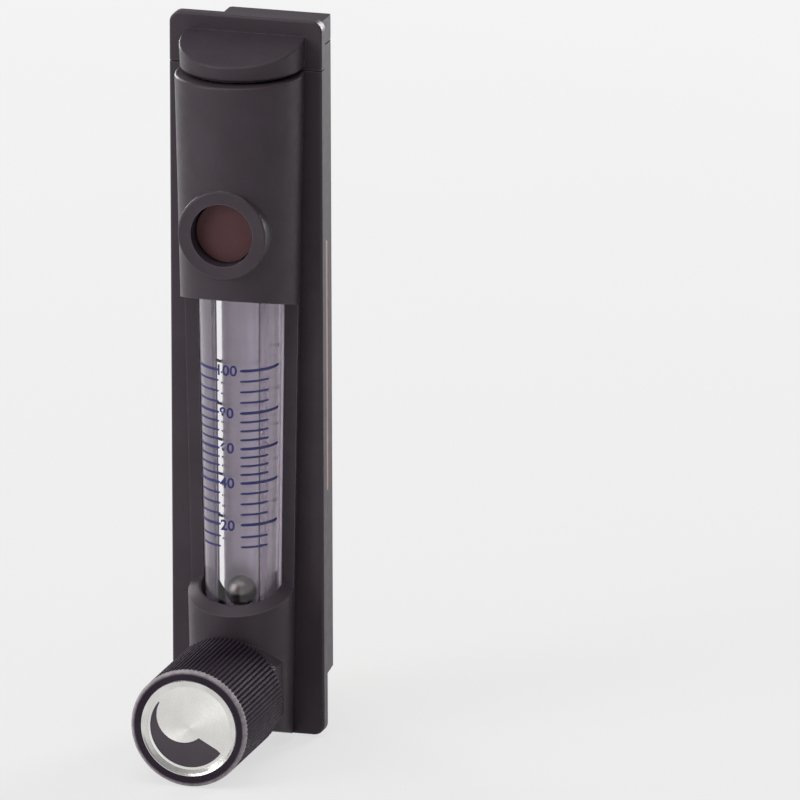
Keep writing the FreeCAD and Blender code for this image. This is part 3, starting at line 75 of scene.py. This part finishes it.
# Soft lamps: azimuth and elevation in degrees, distance, width and height in metres, watts.
LAMPS = {
    "key_softbox": (-46, 22, 1.4, 0.74, 1.00, 10.5),
    "top_softbox": (-10, 74, 1.3, 1.00, 1.00, 7.5),
    "left_edge_softbox": (-134, 6, 1.3, 0.42, 0.90, 15.0),
    "rear_softbox": (160, 8, 1.4, 0.30, 0.90, 24.0),
}
WORLD_LEVEL = 0.34
BACKGROUND = (0.815, 0.815, 0.815, 1.0)
FLOOR_RADIUS = 6.0
FLOOR_GAP = 0.0002
FLOOR_GRAIN = 0.25
FLOOR_SHADE = (0.79, 0.79, 0.79)
FLOOR_OWN_LIGHT = 0.80  # the share of the floor, as seen, that is its own paleness and not the light on it

# Places on the housing: the bezel's front face in Y, and half the width of the rear case.
BEZEL_FRONT = -0.0027
CASE_HALF = 0.0110

# Printed scale on the flow tube.
TUBE_FOOT_RADIUS = 0.00752
SPIGOT_LENGTH = 0.0027
PRINT_PROUD = 0.00003
PRINT_THICK = 0.00002
MAJOR_MARKS = {20: -0.0292, 40: -0.02015, 60: -0.0127, 80: -0.00497, 100: 0.0042}
LOW_MARKS = (-0.0318, -0.0340)
MINORS_BETWEEN = 4
MARK_START = math.radians(16)
MINOR_END = math.radians(62)
MAJOR_END = math.radians(88)
MAJOR_WIDTH = 0.00062
MINOR_WIDTH = 0.00046
MARK_STEPS = 16
MARK_END_SHARE = 0.6  # a line's width at its two ends
NUMERAL_HEIGHT = 0.0022
NUMERAL_ANGLE = math.radians(-4.5)
NUMERAL_OF_SIZE = 0.7  # a digit's height as a share of the font's size
NUMERAL_WEIGHT = 0.024  # how far the strokes are thickened, as a share of the font's size
NUMERAL_SPACING = 1.04
NUMERAL_LONGEST_EDGE = 0.0004

# Blank label on the side of the rear case: places in Y and Z, thickness, gap, bevel and corner.
LABEL_FRONT = 0.0030
LABEL_BACK = 0.0184
LABEL_LOW = -0.0298
LABEL_HIGH = 0.0242
LABEL_THICK = 0.00025
LABEL_GAP = 0.00001
LABEL_BEVEL = LABEL_THICK * 0.4
LABEL_CORNER = 0.0006
LABEL_CORNER_STEPS = 6

# Turned-up edge of the knob's inlay: width, height, crest, its gap to the knob and where its slope steepens.
LIP_WIDTH = 0.0013
LIP_RISE = 0.00045
LIP_CREST = 0.00012
LIP_GAP = 0.00005
LIP_KNEE_IN = LIP_WIDTH * 0.35
LIP_KNEE_UP = LIP_RISE * 0.55
RING_STEPS = 96
RING_SEAM = 1e-7

# Painted highlight on the knob's front rim: how far in it reaches.
RIM_HIGHLIGHT_REACH = 0.0009

# Pipe thread in the two ports: the foot, crest and run-out are shares of a turn.
PORT_RADIUS = 0.0043
THREAD_PITCH = 0.00094
THREAD_DEPTH = 0.00042
THREAD_LENGTH = 0.0075
THREAD_START = 0.0006
THREAD_FOOT = 0.42
THREAD_CREST = 0.06
THREAD_RUN_OUT = 0.1
THREAD_STEPS = 40

# Opening mark on the knob's inlay: a crescent between an outer circle and a smaller one set off its centre.
CRESCENT_OUTER = 0.0084
CRESCENT_INNER = 0.0056
CRESCENT_OFFSET = (-0.0014, 0.0024)
CRESCENT_START = math.radians(-218)
CRESCENT_END = math.radians(-36)
CRESCENT_STEPS = 48
CRESCENT_TIP = 0.0001
CRESCENT_DEPTH = 0.00015
CRESCENT_PAINT = 0.00002


# ---------------------------------------------------------------- materials

def new_material(name):
    """A node material. Returns it with its tree and its Principled shader."""
    material = bpy.data.materials.new(name)
    material.use_nodes = True
    tree = material.node_tree
    return material, tree, tree.nodes["Principled BSDF"]


def node(tree, kind, settings=None, **inputs):
    """A node with its settings, and its inputs set or linked."""
    made = tree.nodes.new(kind)
    for key, value in (settings or {}).items():
        setattr(made, key, value)
    for key, value in inputs.items():
        socket = made.inputs[key.replace("_", " ")]
        if isinstance(value, bpy.types.NodeSocket):
            tree.links.new(value, socket)
        else:
            socket.default_value = value
    return made


def place(tree):
    """The point on the object, in metres."""
    return node(tree, "ShaderNodeTexCoord").outputs["Object"]


def noise(tree, size, detail=3.0, roughness=0.55, vector=None):
    """Noise whose grains are about this size in metres."""
    made = node(tree, "ShaderNodeTexNoise", Scale=1.0 / size, Detail=detail, Roughness=roughness)
    tree.links.new(vector or place(tree), made.inputs["Vector"])
    return made.outputs["Fac"]


def spread(tree, value, low, high, start=0.3, end=0.7):
    """Maps start to end onto low to high. What it starts from is a noise's middle range, if not stated."""
    made = node(tree, "ShaderNodeMapRange", From_Min=start, From_Max=end, To_Min=low, To_Max=high)
    tree.links.new(value, made.inputs["Value"])
    return made.outputs["Result"]


def blend_colours(tree, factor, first, second):
    """A colour between two, by a factor or a linked value."""
    made = tree.nodes.new("ShaderNodeMix")
    made.data_type = "RGBA"
    tree.links.new(factor, made.inputs["Factor"])
    for socket, colour in ((made.inputs[6], first), (made.inputs[7], second)):
        if isinstance(colour, bpy.types.NodeSocket):
            tree.links.new(colour, socket)
        else:
            socket.default_value = (*colour, 1.0)
    return made.outputs[2]


def bump(tree, height, distance, strength=1.0, normal=None):
    """A bump normal from a height, distance in metres."""
    made = node(tree, "ShaderNodeBump", Strength=strength, Distance=distance)
    tree.links.new(height, made.inputs["Height"])
    if normal:
        tree.links.new(normal, made.inputs["Normal"])
    return made.outputs["Normal"]


def edges(tree, radius, sharpness=12.0):
    """Near 1 along convex and concave edges within the radius, 0 elsewhere."""
    rounded = node(tree, "ShaderNodeBevel", {"samples": 4}, Radius=radius)
    plain = node(tree, "ShaderNodeNewGeometry")
    dot = node(tree, "ShaderNodeVectorMath", {"operation": "DOT_PRODUCT"})
    tree.links.new(rounded.outputs["Normal"], dot.inputs[0])
    tree.links.new(plain.outputs["Normal"], dot.inputs[1])
    return spread(tree, dot.outputs["Value"], 0.0, 1.0, 1.0, 1.0 - 1.0 / sharpness)


def reach_from(tree, centre, axes):
    """Distance in metres from a centre, along the axes given."""
    moved = node(tree, "ShaderNodeVectorMath", {"operation": "SUBTRACT"})
    tree.links.new(place(tree), moved.inputs[0])
    moved.inputs[1].default_value = centre
    flat = node(tree, "ShaderNodeVectorMath", {"operation": "MULTIPLY"})
    tree.links.new(moved.outputs["Vector"], flat.inputs[0])
    flat.inputs[1].default_value = axes
    reach = node(tree, "ShaderNodeVectorMath", {"operation": "LENGTH"})
    tree.links.new(flat.outputs["Vector"], reach.inputs[0])
    return reach.outputs["Value"]


def multiply(tree, first, second):
    """The product of two values."""
    made = node(tree, "ShaderNodeMath", {"operation": "MULTIPLY"})
    for socket, value in zip(made.inputs, (first, second)):
        if isinstance(value, bpy.types.NodeSocket):
            tree.links.new(value, socket)
        else:
            socket.default_value = value
    return made.outputs[0]


def moulded(name, base, lighter, smooth, rough, grain=0.00022, depth=0.000004, wear_and_edge_highlight=None, specular=0.5):
    """Moulded plastic: mottled colour, fine spark-eroded grain, slow waviness and paler edges. The pale edge
    colour stands for rubbed wear, and on the black housing also for a painted highlight along its rims.
    """
    material, tree, shader = new_material(name)
    colour = blend_colours(tree, spread(tree, noise(tree, 0.009, 4.0), 0.0, 1.0), base, lighter)
    if wear_and_edge_highlight:
        # Pale edges: rubbed wear, and on the black housing also a painted highlight where the rims catch the
        # light.
        rubbed_and_highlit_edges = multiply(tree, edges(tree, 0.0003), spread(tree, noise(tree, 0.0016, 4.0), 0.25, 1.0))
        colour = blend_colours(tree, rubbed_and_highlit_edges, colour, wear_and_edge_highlight)
    tree.links.new(colour, shader.inputs["Base Color"])
    tree.links.new(spread(tree, noise(tree, 0.0028, 5.0), smooth, rough), shader.inputs["Roughness"])
    wavy = bump(tree, noise(tree, 0.006, 1.0), depth * 6, 0.5)
    tree.links.new(bump(tree, noise(tree, grain, 2.0), depth, 0.6, wavy), shader.inputs["Normal"])
    shader.inputs["Specular IOR Level"].default_value = specular
    return material


def black_moulding():
    """The housing and its end cap. Its pale edge colour is partly rubbed wear and partly a painted highlight
    along the rims.
    """
    return moulded("black_moulding", (0.034, 0.025, 0.033), (0.043, 0.032, 0.042), 0.40, 0.52,
                   wear_and_edge_highlight=(0.105, 0.090, 0.104), specular=0.28)


def knob_plastic():
    """The knob: the same black, handled more, with a painted highlight along its serrated front rim."""
    material = moulded("knob_plastic", (0.024, 0.017, 0.026), (0.032, 0.023, 0.034), 0.62, 0.75,
                       wear_and_edge_highlight=(0.034, 0.025, 0.036), specular=0.03)
    tree = material.node_tree
    shader = tree.nodes["Principled BSDF"]
    low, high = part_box("knob")
    radius = (high.x - low.x) / 2
    reach = reach_from(tree, (low + high) / 2, (1.0, 0.0, 1.0))
    outside = spread(tree, reach, 0.0, 1.0, radius - RIM_HIGHLIGHT_REACH, radius - RIM_HIGHLIGHT_REACH / 3)
    forward = reach_from(tree, Vector((0.0, low.y, 0.0)), (0.0, 1.0, 0.0))
    front = spread(tree, forward, 1.0, 0.0, RIM_HIGHLIGHT_REACH, RIM_HIGHLIGHT_REACH * 1.5)
    colour = shader.inputs["Base Color"].links[0].from_socket
    patchy = spread(tree, noise(tree, 0.0009, 3.0), 0.6, 1.0)
    rim_highlight = multiply(tree, multiply(tree, outside, front), patchy)
    # Painted highlight: a pale, patchy band along the knob's front rim, where it catches the light.
    tree.links.new(blend_colours(tree, rim_highlight, colour, (0.36, 0.33, 0.35)), shader.inputs["Base Color"])
    return material


def block_plastic():
    """The pale blocks inside the housing."""
    return moulded("block_plastic", (0.42, 0.40, 0.37), (0.50, 0.48, 0.44), 0.38, 0.5)


def seat_plastic():
    """The valve seat and the stem packing."""
    return moulded("seat_plastic", (0.62, 0.61, 0.57), (0.72, 0.71, 0.68), 0.4, 0.52)


def stop_plastic():
    """The perforated stops at the ends of the bore."""
    return moulded("stop_plastic", (0.50, 0.48, 0.52), (0.58, 0.56, 0.60), 0.35, 0.45)


def seal_rubber():
    """Dull black rubber with a dusty bloom."""
    return moulded("seal_rubber", (0.012, 0.012, 0.013), (0.022, 0.021, 0.022), 0.6, 0.8, 0.0004, 0.000006)


def red_disc():
    """The red-brown disc in the plug boss: matt, finely grained, scuffed."""
    return moulded("red_disc", (0.066, 0.024, 0.028), (0.082, 0.031, 0.035), 0.5, 0.64, 0.0003, 0.000006,
                   wear_and_edge_highlight=(0.13, 0.06, 0.062), specular=0.25)


def white_backing():
    """The white half-pipe behind the tube."""
    return moulded("white_backing", (0.70, 0.60, 0.73), (0.78, 0.68, 0.81), 0.42, 0.55, 0.0003, 0.000002)


def clear_tube():
    """Clear acrylic with a faint drawn waviness along its length and slight haze."""
    material, tree, shader = new_material("clear_tube")
    shader.inputs["Base Color"].default_value = (0.97, 0.955, 0.985, 1.0)
    shader.inputs["Transmission Weight"].default_value = 1.0
    shader.inputs["IOR"].default_value = 1.49
    stretched = node(tree, "ShaderNodeMapping", Scale=(1.0, 1.0, 0.04))
    tree.links.new(place(tree), stretched.inputs["Vector"])
    drawn = noise(tree, 0.0022, 2.0, vector=stretched.outputs["Vector"])
    tree.links.new(spread(tree, noise(tree, 0.004, 4.0), 0.0, 0.05), shader.inputs["Roughness"])
    tree.links.new(bump(tree, drawn, 0.00001, 0.25), shader.inputs["Normal"])
    return material


def metal(name, base, darker, smooth, rough, line=0.00012, depth=0.000002, axis=(1.0, 0.05, 1.0)):
    """Machined metal: turning lines, small stains and a changing polish."""
    material, tree, shader = new_material(name)
    shader.inputs["Metallic"].default_value = 1.0
    colour = blend_colours(tree, spread(tree, noise(tree, 0.0035, 5.0), 0.0, 1.0), base, darker)
    tree.links.new(colour, shader.inputs["Base Color"])
    tree.links.new(spread(tree, noise(tree, 0.0015, 4.0), smooth, rough), shader.inputs["Roughness"])
    lines = node(tree, "ShaderNodeMapping", Scale=axis)
    tree.links.new(place(tree), lines.inputs["Vector"])
    tree.links.new(bump(tree, noise(tree, line, 2.0, vector=lines.outputs["Vector"]), depth, 0.7),
                   shader.inputs["Normal"])
    return material


def ball_steel():
    """The ball: dull dark metal."""
    return metal("ball_steel", (0.200, 0.175, 0.172), (0.150, 0.130, 0.130), 0.32, 0.44, depth=0.0000006)


def brass():
    """Turned brass, dulled by handling."""
    return metal("brass", (0.70, 0.50, 0.23), (0.48, 0.33, 0.15), 0.22, 0.38)


def stem_steel():
    """Bright turned steel."""
    return metal("stem_steel", (0.55, 0.54, 0.53), (0.42, 0.41, 0.40), 0.18, 0.32)


def spun_aluminium():
    """The knob's inlay: spun in fine rings about the knob's axis, so that it shines in radial fans."""
    material, tree, shader = new_material("spun_aluminium")
    low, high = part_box("knob_inlay")
    reach = reach_from(tree, (low + high) / 2, (1.0, 0.0, 1.0))
    ring = node(tree, "ShaderNodeTexNoise", {"noise_dimensions": "1D"}, Scale=1.0 / 0.00013, Detail=3.0)
    tree.links.new(reach, ring.inputs["W"])
    mottle = spread(tree, noise(tree, 0.004, 4.0), 0.0, 1.0)
    colour = blend_colours(tree, mottle, (0.88, 0.87, 0.84), (0.80, 0.79, 0.765))
    tree.links.new(colour, shader.inputs["Base Color"])
    tree.links.new(spread(tree, ring.outputs["Fac"], 0.24, 0.36), shader.inputs["Roughness"])
    tree.links.new(bump(tree, ring.outputs["Fac"], 0.000003, 0.5), shader.inputs["Normal"])
    tangent = node(tree, "ShaderNodeTangent", {"direction_type": "RADIAL", "axis": "Y"})
    tree.links.new(tangent.outputs["Tangent"], shader.inputs["Tangent"])
    shader.inputs["Metallic"].default_value = 1.0
    shader.inputs["Anisotropic"].default_value = 0.75
    return material


def rim_metal():
    """The inlay's polished edge."""
    return metal("rim_metal", (0.80, 0.79, 0.77), (0.66, 0.65, 0.63), 0.16, 0.26, depth=0.0000008)


def scale_ink():
    """The blue ink of the scale, thin and slightly uneven."""
    material, tree, shader = new_material("scale_ink")
    patchy = spread(tree, noise(tree, 0.0005, 4.0), 0.0, 1.0)
    tree.links.new(blend_colours(tree, patchy, (0.006, 0.006, 0.085), (0.014, 0.014, 0.13)),
                   shader.inputs["Base Color"])
    tree.links.new(spread(tree, noise(tree, 0.0004), 0.35, 0.55), shader.inputs["Roughness"])
    return material


def mark_paint():
    """The dark paint in the knob's opening mark."""
    return moulded("mark_paint", (0.045, 0.036, 0.046), (0.062, 0.050, 0.064), 0.45, 0.6, 0.0003, 0.000004,
                   specular=0.3)


def label_film():
    """The blank side label: an aged pinkish film with faint rubs."""
    return moulded("label_film", (0.30, 0.155, 0.145), (0.36, 0.20, 0.185), 0.36, 0.5, 0.0007, 0.000006,
                   wear_and_edge_highlight=(0.45, 0.30, 0.28), specular=0.3)


# ---------------------------------------------------------------- pieces

def new_piece(name, mesh, body, material):
    """An object from a bmesh, with its material, that rides on a CAD body."""
    data = bpy.data.meshes.new(name)
    mesh.to_mesh(data)
    mesh.free()
    piece = bpy.data.objects.new(name, data)
    bpy.context.scene.collection.objects.link(piece)
    data.materials.append(material)
    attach(piece, body)
    return piece


def grid_surface(mesh, rows, closed=False):
    """Faces between rows of points."""
    made = [[mesh.verts.new(point) for point in row] for row in rows]
    for first, second in zip(made, made[1:]):
        count = len(first)
        for i in range(count if closed else count - 1):
            j = (i + 1) % count
            mesh.faces.new((first[i], first[j], second[j], second[i]))
    return made


class Tube:
    """The flow tube's outside: a cone about its upright axis."""

    def __init__(self):
        low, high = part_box("flow_tube")
        self.x = (low.x + high.x) / 2
        self.y = (low.y + high.y) / 2
        self.foot = low.z + SPIGOT_LENGTH
        self.head = high.z - SPIGOT_LENGTH
        self.head_radius = (high.x - low.x) / 2

    def radius(self, level):
        """Outside radius at a height."""
        share = (level - self.foot) / (self.head - self.foot)
        return TUBE_FOOT_RADIUS + share * (self.head_radius - TUBE_FOOT_RADIUS)

    def point(self, angle, level, proud):
        """A point outside the tube, the angle measured round from its front."""
        radius = self.radius(level) + proud
        return Vector((self.x + radius * math.sin(angle), self.y - radius * math.cos(angle), level))


def add_mark(mesh, tube, level, width, start, end):
    """A printed line round part of the tube, with softened ends."""
    rows = []
    for i in range(MARK_STEPS + 1):
        angle = start + (end - start) * i / MARK_STEPS
        half = width / 2 * (MARK_END_SHARE if i in (0, MARK_STEPS) else 1.0)
        corners = ((-half, PRINT_PROUD), (-half, PRINT_PROUD + PRINT_THICK),
                   (half, PRINT_PROUD + PRINT_THICK), (half, PRINT_PROUD))
        rows.append([tube.point(angle, level + rise, proud) for rise, proud in corners])
    made = grid_surface(mesh, rows, closed=True)
    mesh.faces.new(made[0])
    mesh.faces.new(reversed(made[-1]))


def make_scale(tube):
    """All the lines of the scale, as one printed layer."""
    mesh = bmesh.new()
    levels = list(MAJOR_MARKS.values())
    minors = list(LOW_MARKS)
    for low, high in zip(levels, levels[1:]):
        gap = (high - low) / MINORS_BETWEEN
        minors += [low + gap * i for i in range(1, MINORS_BETWEEN)]
    lines = [(z, MAJOR_WIDTH, MAJOR_END) for z in levels] + [(z, MINOR_WIDTH, MINOR_END) for z in minors]
    for level, width, end in lines:
        add_mark(mesh, tube, level, width, MARK_START, end)
        add_mark(mesh, tube, level, width, -end, -MARK_START)
    bmesh.ops.recalc_face_normals(mesh, faces=mesh.faces)
    return new_piece("scale_lines", mesh, "frame", scale_ink())


def make_numeral(tube, number, level):
    """A plain number, wrapped round the front of the tube."""
    curve = bpy.data.curves.new(f"numeral_{number}_curve", "FONT")
    curve.body = str(number)
    curve.size = NUMERAL_HEIGHT / NUMERAL_OF_SIZE
    curve.align_x = "CENTER"
    curve.align_y = "CENTER"
    curve.extrude = PRINT_THICK / 2
    curve.offset = curve.size * NUMERAL_WEIGHT
    curve.space_character = NUMERAL_SPACING
    text = bpy.data.objects.new(f"numeral_{number}_text", curve)
    bpy.context.scene.collection.objects.link(text)
    bpy.context.view_layer.update()
    flat = bpy.data.meshes.new_from_object(text.evaluated_get(bpy.context.evaluated_depsgraph_get()))
    bpy.data.objects.remove(text)
    mesh = bmesh.new()
    mesh.from_mesh(flat)
    middle = sum(v.co.y for v in mesh.verts) / len(mesh.verts)
    long_edges = [edge for edge in mesh.edges if edge.calc_length() > NUMERAL_LONGEST_EDGE]
    bmesh.ops.subdivide_edges(mesh, edges=long_edges, cuts=2)
    for vertex in mesh.verts:
        height = level + (vertex.co.y - middle)
        angle = NUMERAL_ANGLE + vertex.co.x / tube.radius(level)
        vertex.co = tube.point(angle, height, PRINT_PROUD + PRINT_THICK / 2 + vertex.co.z)
    bmesh.ops.recalc_face_normals(mesh, faces=mesh.faces)
    return new_piece(f"numeral_{number}", mesh, "frame", scale_ink())


def rounded_outline(width, height, corner):
    """Corner points of a rounded rectangle about the origin."""
    points = []
    for quarter, (sx, sy) in enumerate(((1, 1), (-1, 1), (-1, -1), (1, -1))):
        for i in range(LABEL_CORNER_STEPS + 1):
            turn = math.pi / 2 * (quarter + i / LABEL_CORNER_STEPS)
            points.append((sx * (width / 2 - corner) + corner * math.cos(turn),
                           sy * (height / 2 - corner) + corner * math.sin(turn)))
    return points


def make_label():
    """The blank label on the side of the rear case."""
    mesh = bmesh.new()
    width, height = LABEL_BACK - LABEL_FRONT, LABEL_HIGH - LABEL_LOW
    middle = Vector((0, (LABEL_FRONT + LABEL_BACK) / 2, (LABEL_LOW + LABEL_HIGH) / 2))
    rows = []
    for proud, shrink in ((LABEL_GAP, 0.0), (LABEL_THICK - LABEL_BEVEL, 0.0), (LABEL_THICK, LABEL_BEVEL)):
        outline = rounded_outline(width - 2 * shrink, height - 2 * shrink, LABEL_CORNER - shrink / 2)
        rows.append([middle + Vector((CASE_HALF + proud, y, z)) for y, z in outline])
    made = grid_surface(mesh, rows, closed=True)
    mesh.faces.new(made[0])
    mesh.faces.new(reversed(made[-1]))
    bmesh.ops.recalc_face_normals(mesh, faces=mesh.faces)
    return new_piece("side_label", mesh, "frame", label_film())


def make_ring(name, profile, centre, material, body):
    """A turned ring about an axis along Y. The profile is a closed line of (radius, Y) points."""
    mesh = bmesh.new()
    rows = []
    for i in range(RING_STEPS):
        angle = 2 * math.pi * i / RING_STEPS
        rows.append([Vector((centre.x + radius * math.cos(angle), y, centre.z + radius * math.sin(angle)))
                     for radius, y in profile])
    rows.append(rows[0])
    grid_surface(mesh, rows, closed=True)
    bmesh.ops.remove_doubles(mesh, verts=mesh.verts, dist=RING_SEAM)
    bmesh.ops.recalc_face_normals(mesh, faces=mesh.faces)
    return new_piece(name, mesh, body, material)


def make_inlay_rim():
    """The inlay's turned-up edge: a narrow dished band that rises towards the knob's rim."""
    low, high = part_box("knob_inlay")
    centre = (low + high) / 2
    outer = (high.x - low.x) / 2 - LIP_GAP
    foot = low.y - PRINT_PROUD
    profile = [(outer - LIP_WIDTH, foot), (outer - LIP_KNEE_IN, low.y - LIP_KNEE_UP),
               (outer - LIP_CREST, low.y - LIP_RISE), (outer, low.y - LIP_RISE), (outer, foot)]
    return make_ring("inlay_rim", profile, centre, rim_metal(), "knob_set")


def make_threads(name, fitting):
    """The pipe thread in a port: a tapering ridge that winds into the fitting's bore."""
    low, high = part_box(fitting)
    axis = (low + high) / 2
    mesh = bmesh.new()
    rows = []
    turns = int(THREAD_LENGTH / THREAD_PITCH)
    for i in range(turns * THREAD_STEPS + 1):
        share = i / THREAD_STEPS
        angle = 2 * math.pi * share
        y = high.y - THREAD_START - share * THREAD_PITCH
        depth = THREAD_DEPTH * min(1.0, share, turns - share + THREAD_RUN_OUT)
        crest = PORT_RADIUS - depth
        section = ((PORT_RADIUS, THREAD_PITCH * THREAD_FOOT), (crest, THREAD_PITCH * THREAD_CREST),
                   (crest, -THREAD_PITCH * THREAD_CREST), (PORT_RADIUS, -THREAD_PITCH * THREAD_FOOT))
        rows.append([Vector((axis.x + radius * math.cos(angle), y + along, axis.z + radius * math.sin(angle)))
                     for radius, along in section])
    made = grid_surface(mesh, rows, closed=True)
    mesh.faces.new(made[0])
    mesh.faces.new(reversed(made[-1]))
    bmesh.ops.recalc_face_normals(mesh, faces=mesh.faces)
    return new_piece(name, mesh, "frame", brass())


def make_opening_mark():
    """The paint that fills the crescent recess of the inlay."""
    low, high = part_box("knob_inlay")
    middle = (low + high) / 2
    level = low.y + CRESCENT_DEPTH - CRESCENT_PAINT
    centre = Vector(CRESCENT_OFFSET)
    mesh = bmesh.new()
    rows = []
    for i in range(CRESCENT_STEPS + 1):
        angle = CRESCENT_START + (CRESCENT_END - CRESCENT_START) * i / CRESCENT_STEPS
        outer = Vector((CRESCENT_OUTER * math.cos(angle), CRESCENT_OUTER * math.sin(angle)))
        toward = outer - centre
        inner = centre + toward.normalized() * min(CRESCENT_INNER, toward.length - CRESCENT_TIP)
        rows.append([Vector((middle.x + p.x, level, middle.z + p.y)) for p in (outer, inner)])
    grid_surface(mesh, rows)
    bmesh.ops.recalc_face_normals(mesh, faces=mesh.faces)
    return new_piece("opening_mark", mesh, "knob_set", mark_paint())


# ---------------------------------------------------------------- stage

def look_axes():
    """The camera's right, up and back directions, before it rolls."""
    sin_a, cos_a = math.sin(AZIMUTH), math.cos(AZIMUTH)
    sin_e, cos_e = math.sin(ELEVATION), math.cos(ELEVATION)
    right = Vector((cos_a, sin_a, 0.0))
    up = Vector((-sin_a * sin_e, cos_a * sin_e, cos_e))
    back = Vector((sin_a * cos_e, -cos_a * cos_e, sin_e))
    return right, up, back


def make_camera():
    """A long lens far away, level with the photograph's viewing angle."""
    right, up, back = look_axes()
    tilted_up = up * math.cos(ROLL) + right * math.sin(ROLL)
    tilted_right = right * math.cos(ROLL) - up * math.sin(ROLL)
    low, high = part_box("housing")
    foot = Vector(((low.x + high.x) / 2, BEZEL_FRONT, low.z))
    target = foot + tilted_right * LEFT_OF_CENTRE + tilted_up * BELOW_CENTRE
    data = bpy.data.cameras.new("camera")
    data.sensor_width = SENSOR
    data.lens = SENSOR * CAMERA_DISTANCE / VIEW_WIDTH
    data.clip_start, data.clip_end = 0.1, 60.0
    camera = bpy.data.objects.new("camera", data)
    camera.matrix_world = Matrix.Translation(target + back * CAMERA_DISTANCE) @ Matrix(
        (tilted_right, tilted_up, back)).transposed().to_4x4()
    bpy.context.scene.collection.objects.link(camera)
    bpy.context.scene.camera = camera


def make_lamps():
    """Soft rectangular lamps, all turned to the object."""
    low, high = (Vector(corner) for corner in cad_box)
    middle = (low + high) / 2
    for name, (azimuth, elevation, distance, width, height, watts) in LAMPS.items():
        turn, rise = math.radians(azimuth), math.radians(elevation)
        away = Vector((math.sin(turn) * math.cos(rise), -math.cos(turn) * math.cos(rise), math.sin(rise)))
        data = bpy.data.lights.new(name, "AREA")
        data.shape, data.size, data.size_y, data.energy = "RECTANGLE", width, height, watts
        lamp = bpy.data.objects.new(name, data)
        lamp.location = middle + away * distance
        lamp.rotation_euler = away.to_track_quat("Z", "Y").to_euler()
        bpy.context.scene.collection.objects.link(lamp)


def light_path_share(tree):
    """1 where the camera, a reflection or a clear piece sees this surface, 0 where it only lights others."""
    path = node(tree, "ShaderNodeLightPath")
    first = node(tree, "ShaderNodeMath", {"operation": "MAXIMUM"})
    tree.links.new(path.outputs["Is Camera Ray"], first.inputs[0])
    tree.links.new(path.outputs["Is Glossy Ray"], first.inputs[1])
    second = node(tree, "ShaderNodeMath", {"operation": "MAXIMUM"})
    tree.links.new(first.outputs[0], second.inputs[0])
    tree.links.new(path.outputs["Is Transmission Ray"], second.inputs[1])
    return second.outputs[0]


def make_floor():
    """A pale floor, large enough to fill the view. It keeps the object's shadow."""
    mesh = bmesh.new()
    bmesh.ops.create_circle(mesh, cap_ends=True, segments=96, radius=FLOOR_RADIUS)
    data = bpy.data.meshes.new("floor")
    mesh.to_mesh(data)
    mesh.free()
    floor = bpy.data.objects.new("floor", data)
    floor.location.z = cad_box[0][2] - FLOOR_GAP
    bpy.context.scene.collection.objects.link(floor)
    material, tree, shader = new_material("floor")
    shader.inputs["Roughness"].default_value = 0.7
    shader.inputs["Specular IOR Level"].default_value = 0.15
    paper = spread(tree, noise(tree, FLOOR_GRAIN, 3.0), 0.0, 1.0)
    colour = blend_colours(tree, paper, BACKGROUND[:3], FLOOR_SHADE)
    tree.links.new(colour, shader.inputs["Base Color"])
    own = node(tree, "ShaderNodeEmission", Color=BACKGROUND, Strength=1.0)
    share = multiply(tree, light_path_share(tree), FLOOR_OWN_LIGHT)
    mixed = node(tree, "ShaderNodeMixShader")
    tree.links.new(share, mixed.inputs[0])
    tree.links.new(shader.outputs["BSDF"], mixed.inputs[1])
    tree.links.new(own.outputs["Emission"], mixed.inputs[2])
    tree.links.new(mixed.outputs["Shader"], tree.nodes["Material Output"].inputs["Surface"])
    data.materials.append(material)


def make_world():
    """Even light from all round, and the floor's own paleness beyond its edge."""
    world = bpy.data.worlds.new("world")
    bpy.context.scene.world = world
    world.use_nodes = True
    tree = world.node_tree
    lit = tree.nodes["Background"]
    lit.inputs["Color"].default_value = (1.0, 1.0, 1.0, 1.0)
    lit.inputs["Strength"].default_value = WORLD_LEVEL
    seen = node(tree, "ShaderNodeBackground", Color=BACKGROUND, Strength=1.0)
    path = node(tree, "ShaderNodeLightPath")
    mixed = node(tree, "ShaderNodeMixShader")
    tree.links.new(path.outputs["Is Camera Ray"], mixed.inputs[0])
    tree.links.new(lit.outputs["Background"], mixed.inputs[1])
    tree.links.new(seen.outputs["Background"], mixed.inputs[2])
    tree.links.new(mixed.outputs["Shader"], tree.nodes["World Output"].inputs["Surface"])


def dress_nodes():
    """Gives each CAD node the material that its slot names."""
    made = {
        "black_moulding": black_moulding(), "block_plastic": block_plastic(), "clear_tube": clear_tube(),
        "white_backing": white_backing(), "seal_rubber": seal_rubber(), "stop_plastic": stop_plastic(),
        "ball_steel": ball_steel(), "brass": brass(), "seat_plastic": seat_plastic(),
        "stem_steel": stem_steel(), "knob_plastic": knob_plastic(), "spun_aluminium": spun_aluminium(),
        "red_disc": red_disc(),
    }
    slots = {}
    for row in frame["record"]["materials"]:
        for name in row.get("nodes", []):
            slots[name] = row["slot"]
    for name, shown in frame["nodes"].items():
        for holder in shown.material_slots:
            slot = slots.get(name) or holder.material.name.split(".")[0]
            holder.material = made[slot]


make_camera()
make_lamps()
make_floor()
make_world()
dress_nodes()
tube = Tube()
make_scale(tube)
for number, level in MAJOR_MARKS.items():
    make_numeral(tube, number, level)
make_label()
make_inlay_rim()
make_opening_mark()
make_threads("inlet_thread", "inlet_fitting")
make_threads("outlet_thread", "outlet_fitting")
bpy.context.scene.view_settings.view_transform = "Standard"
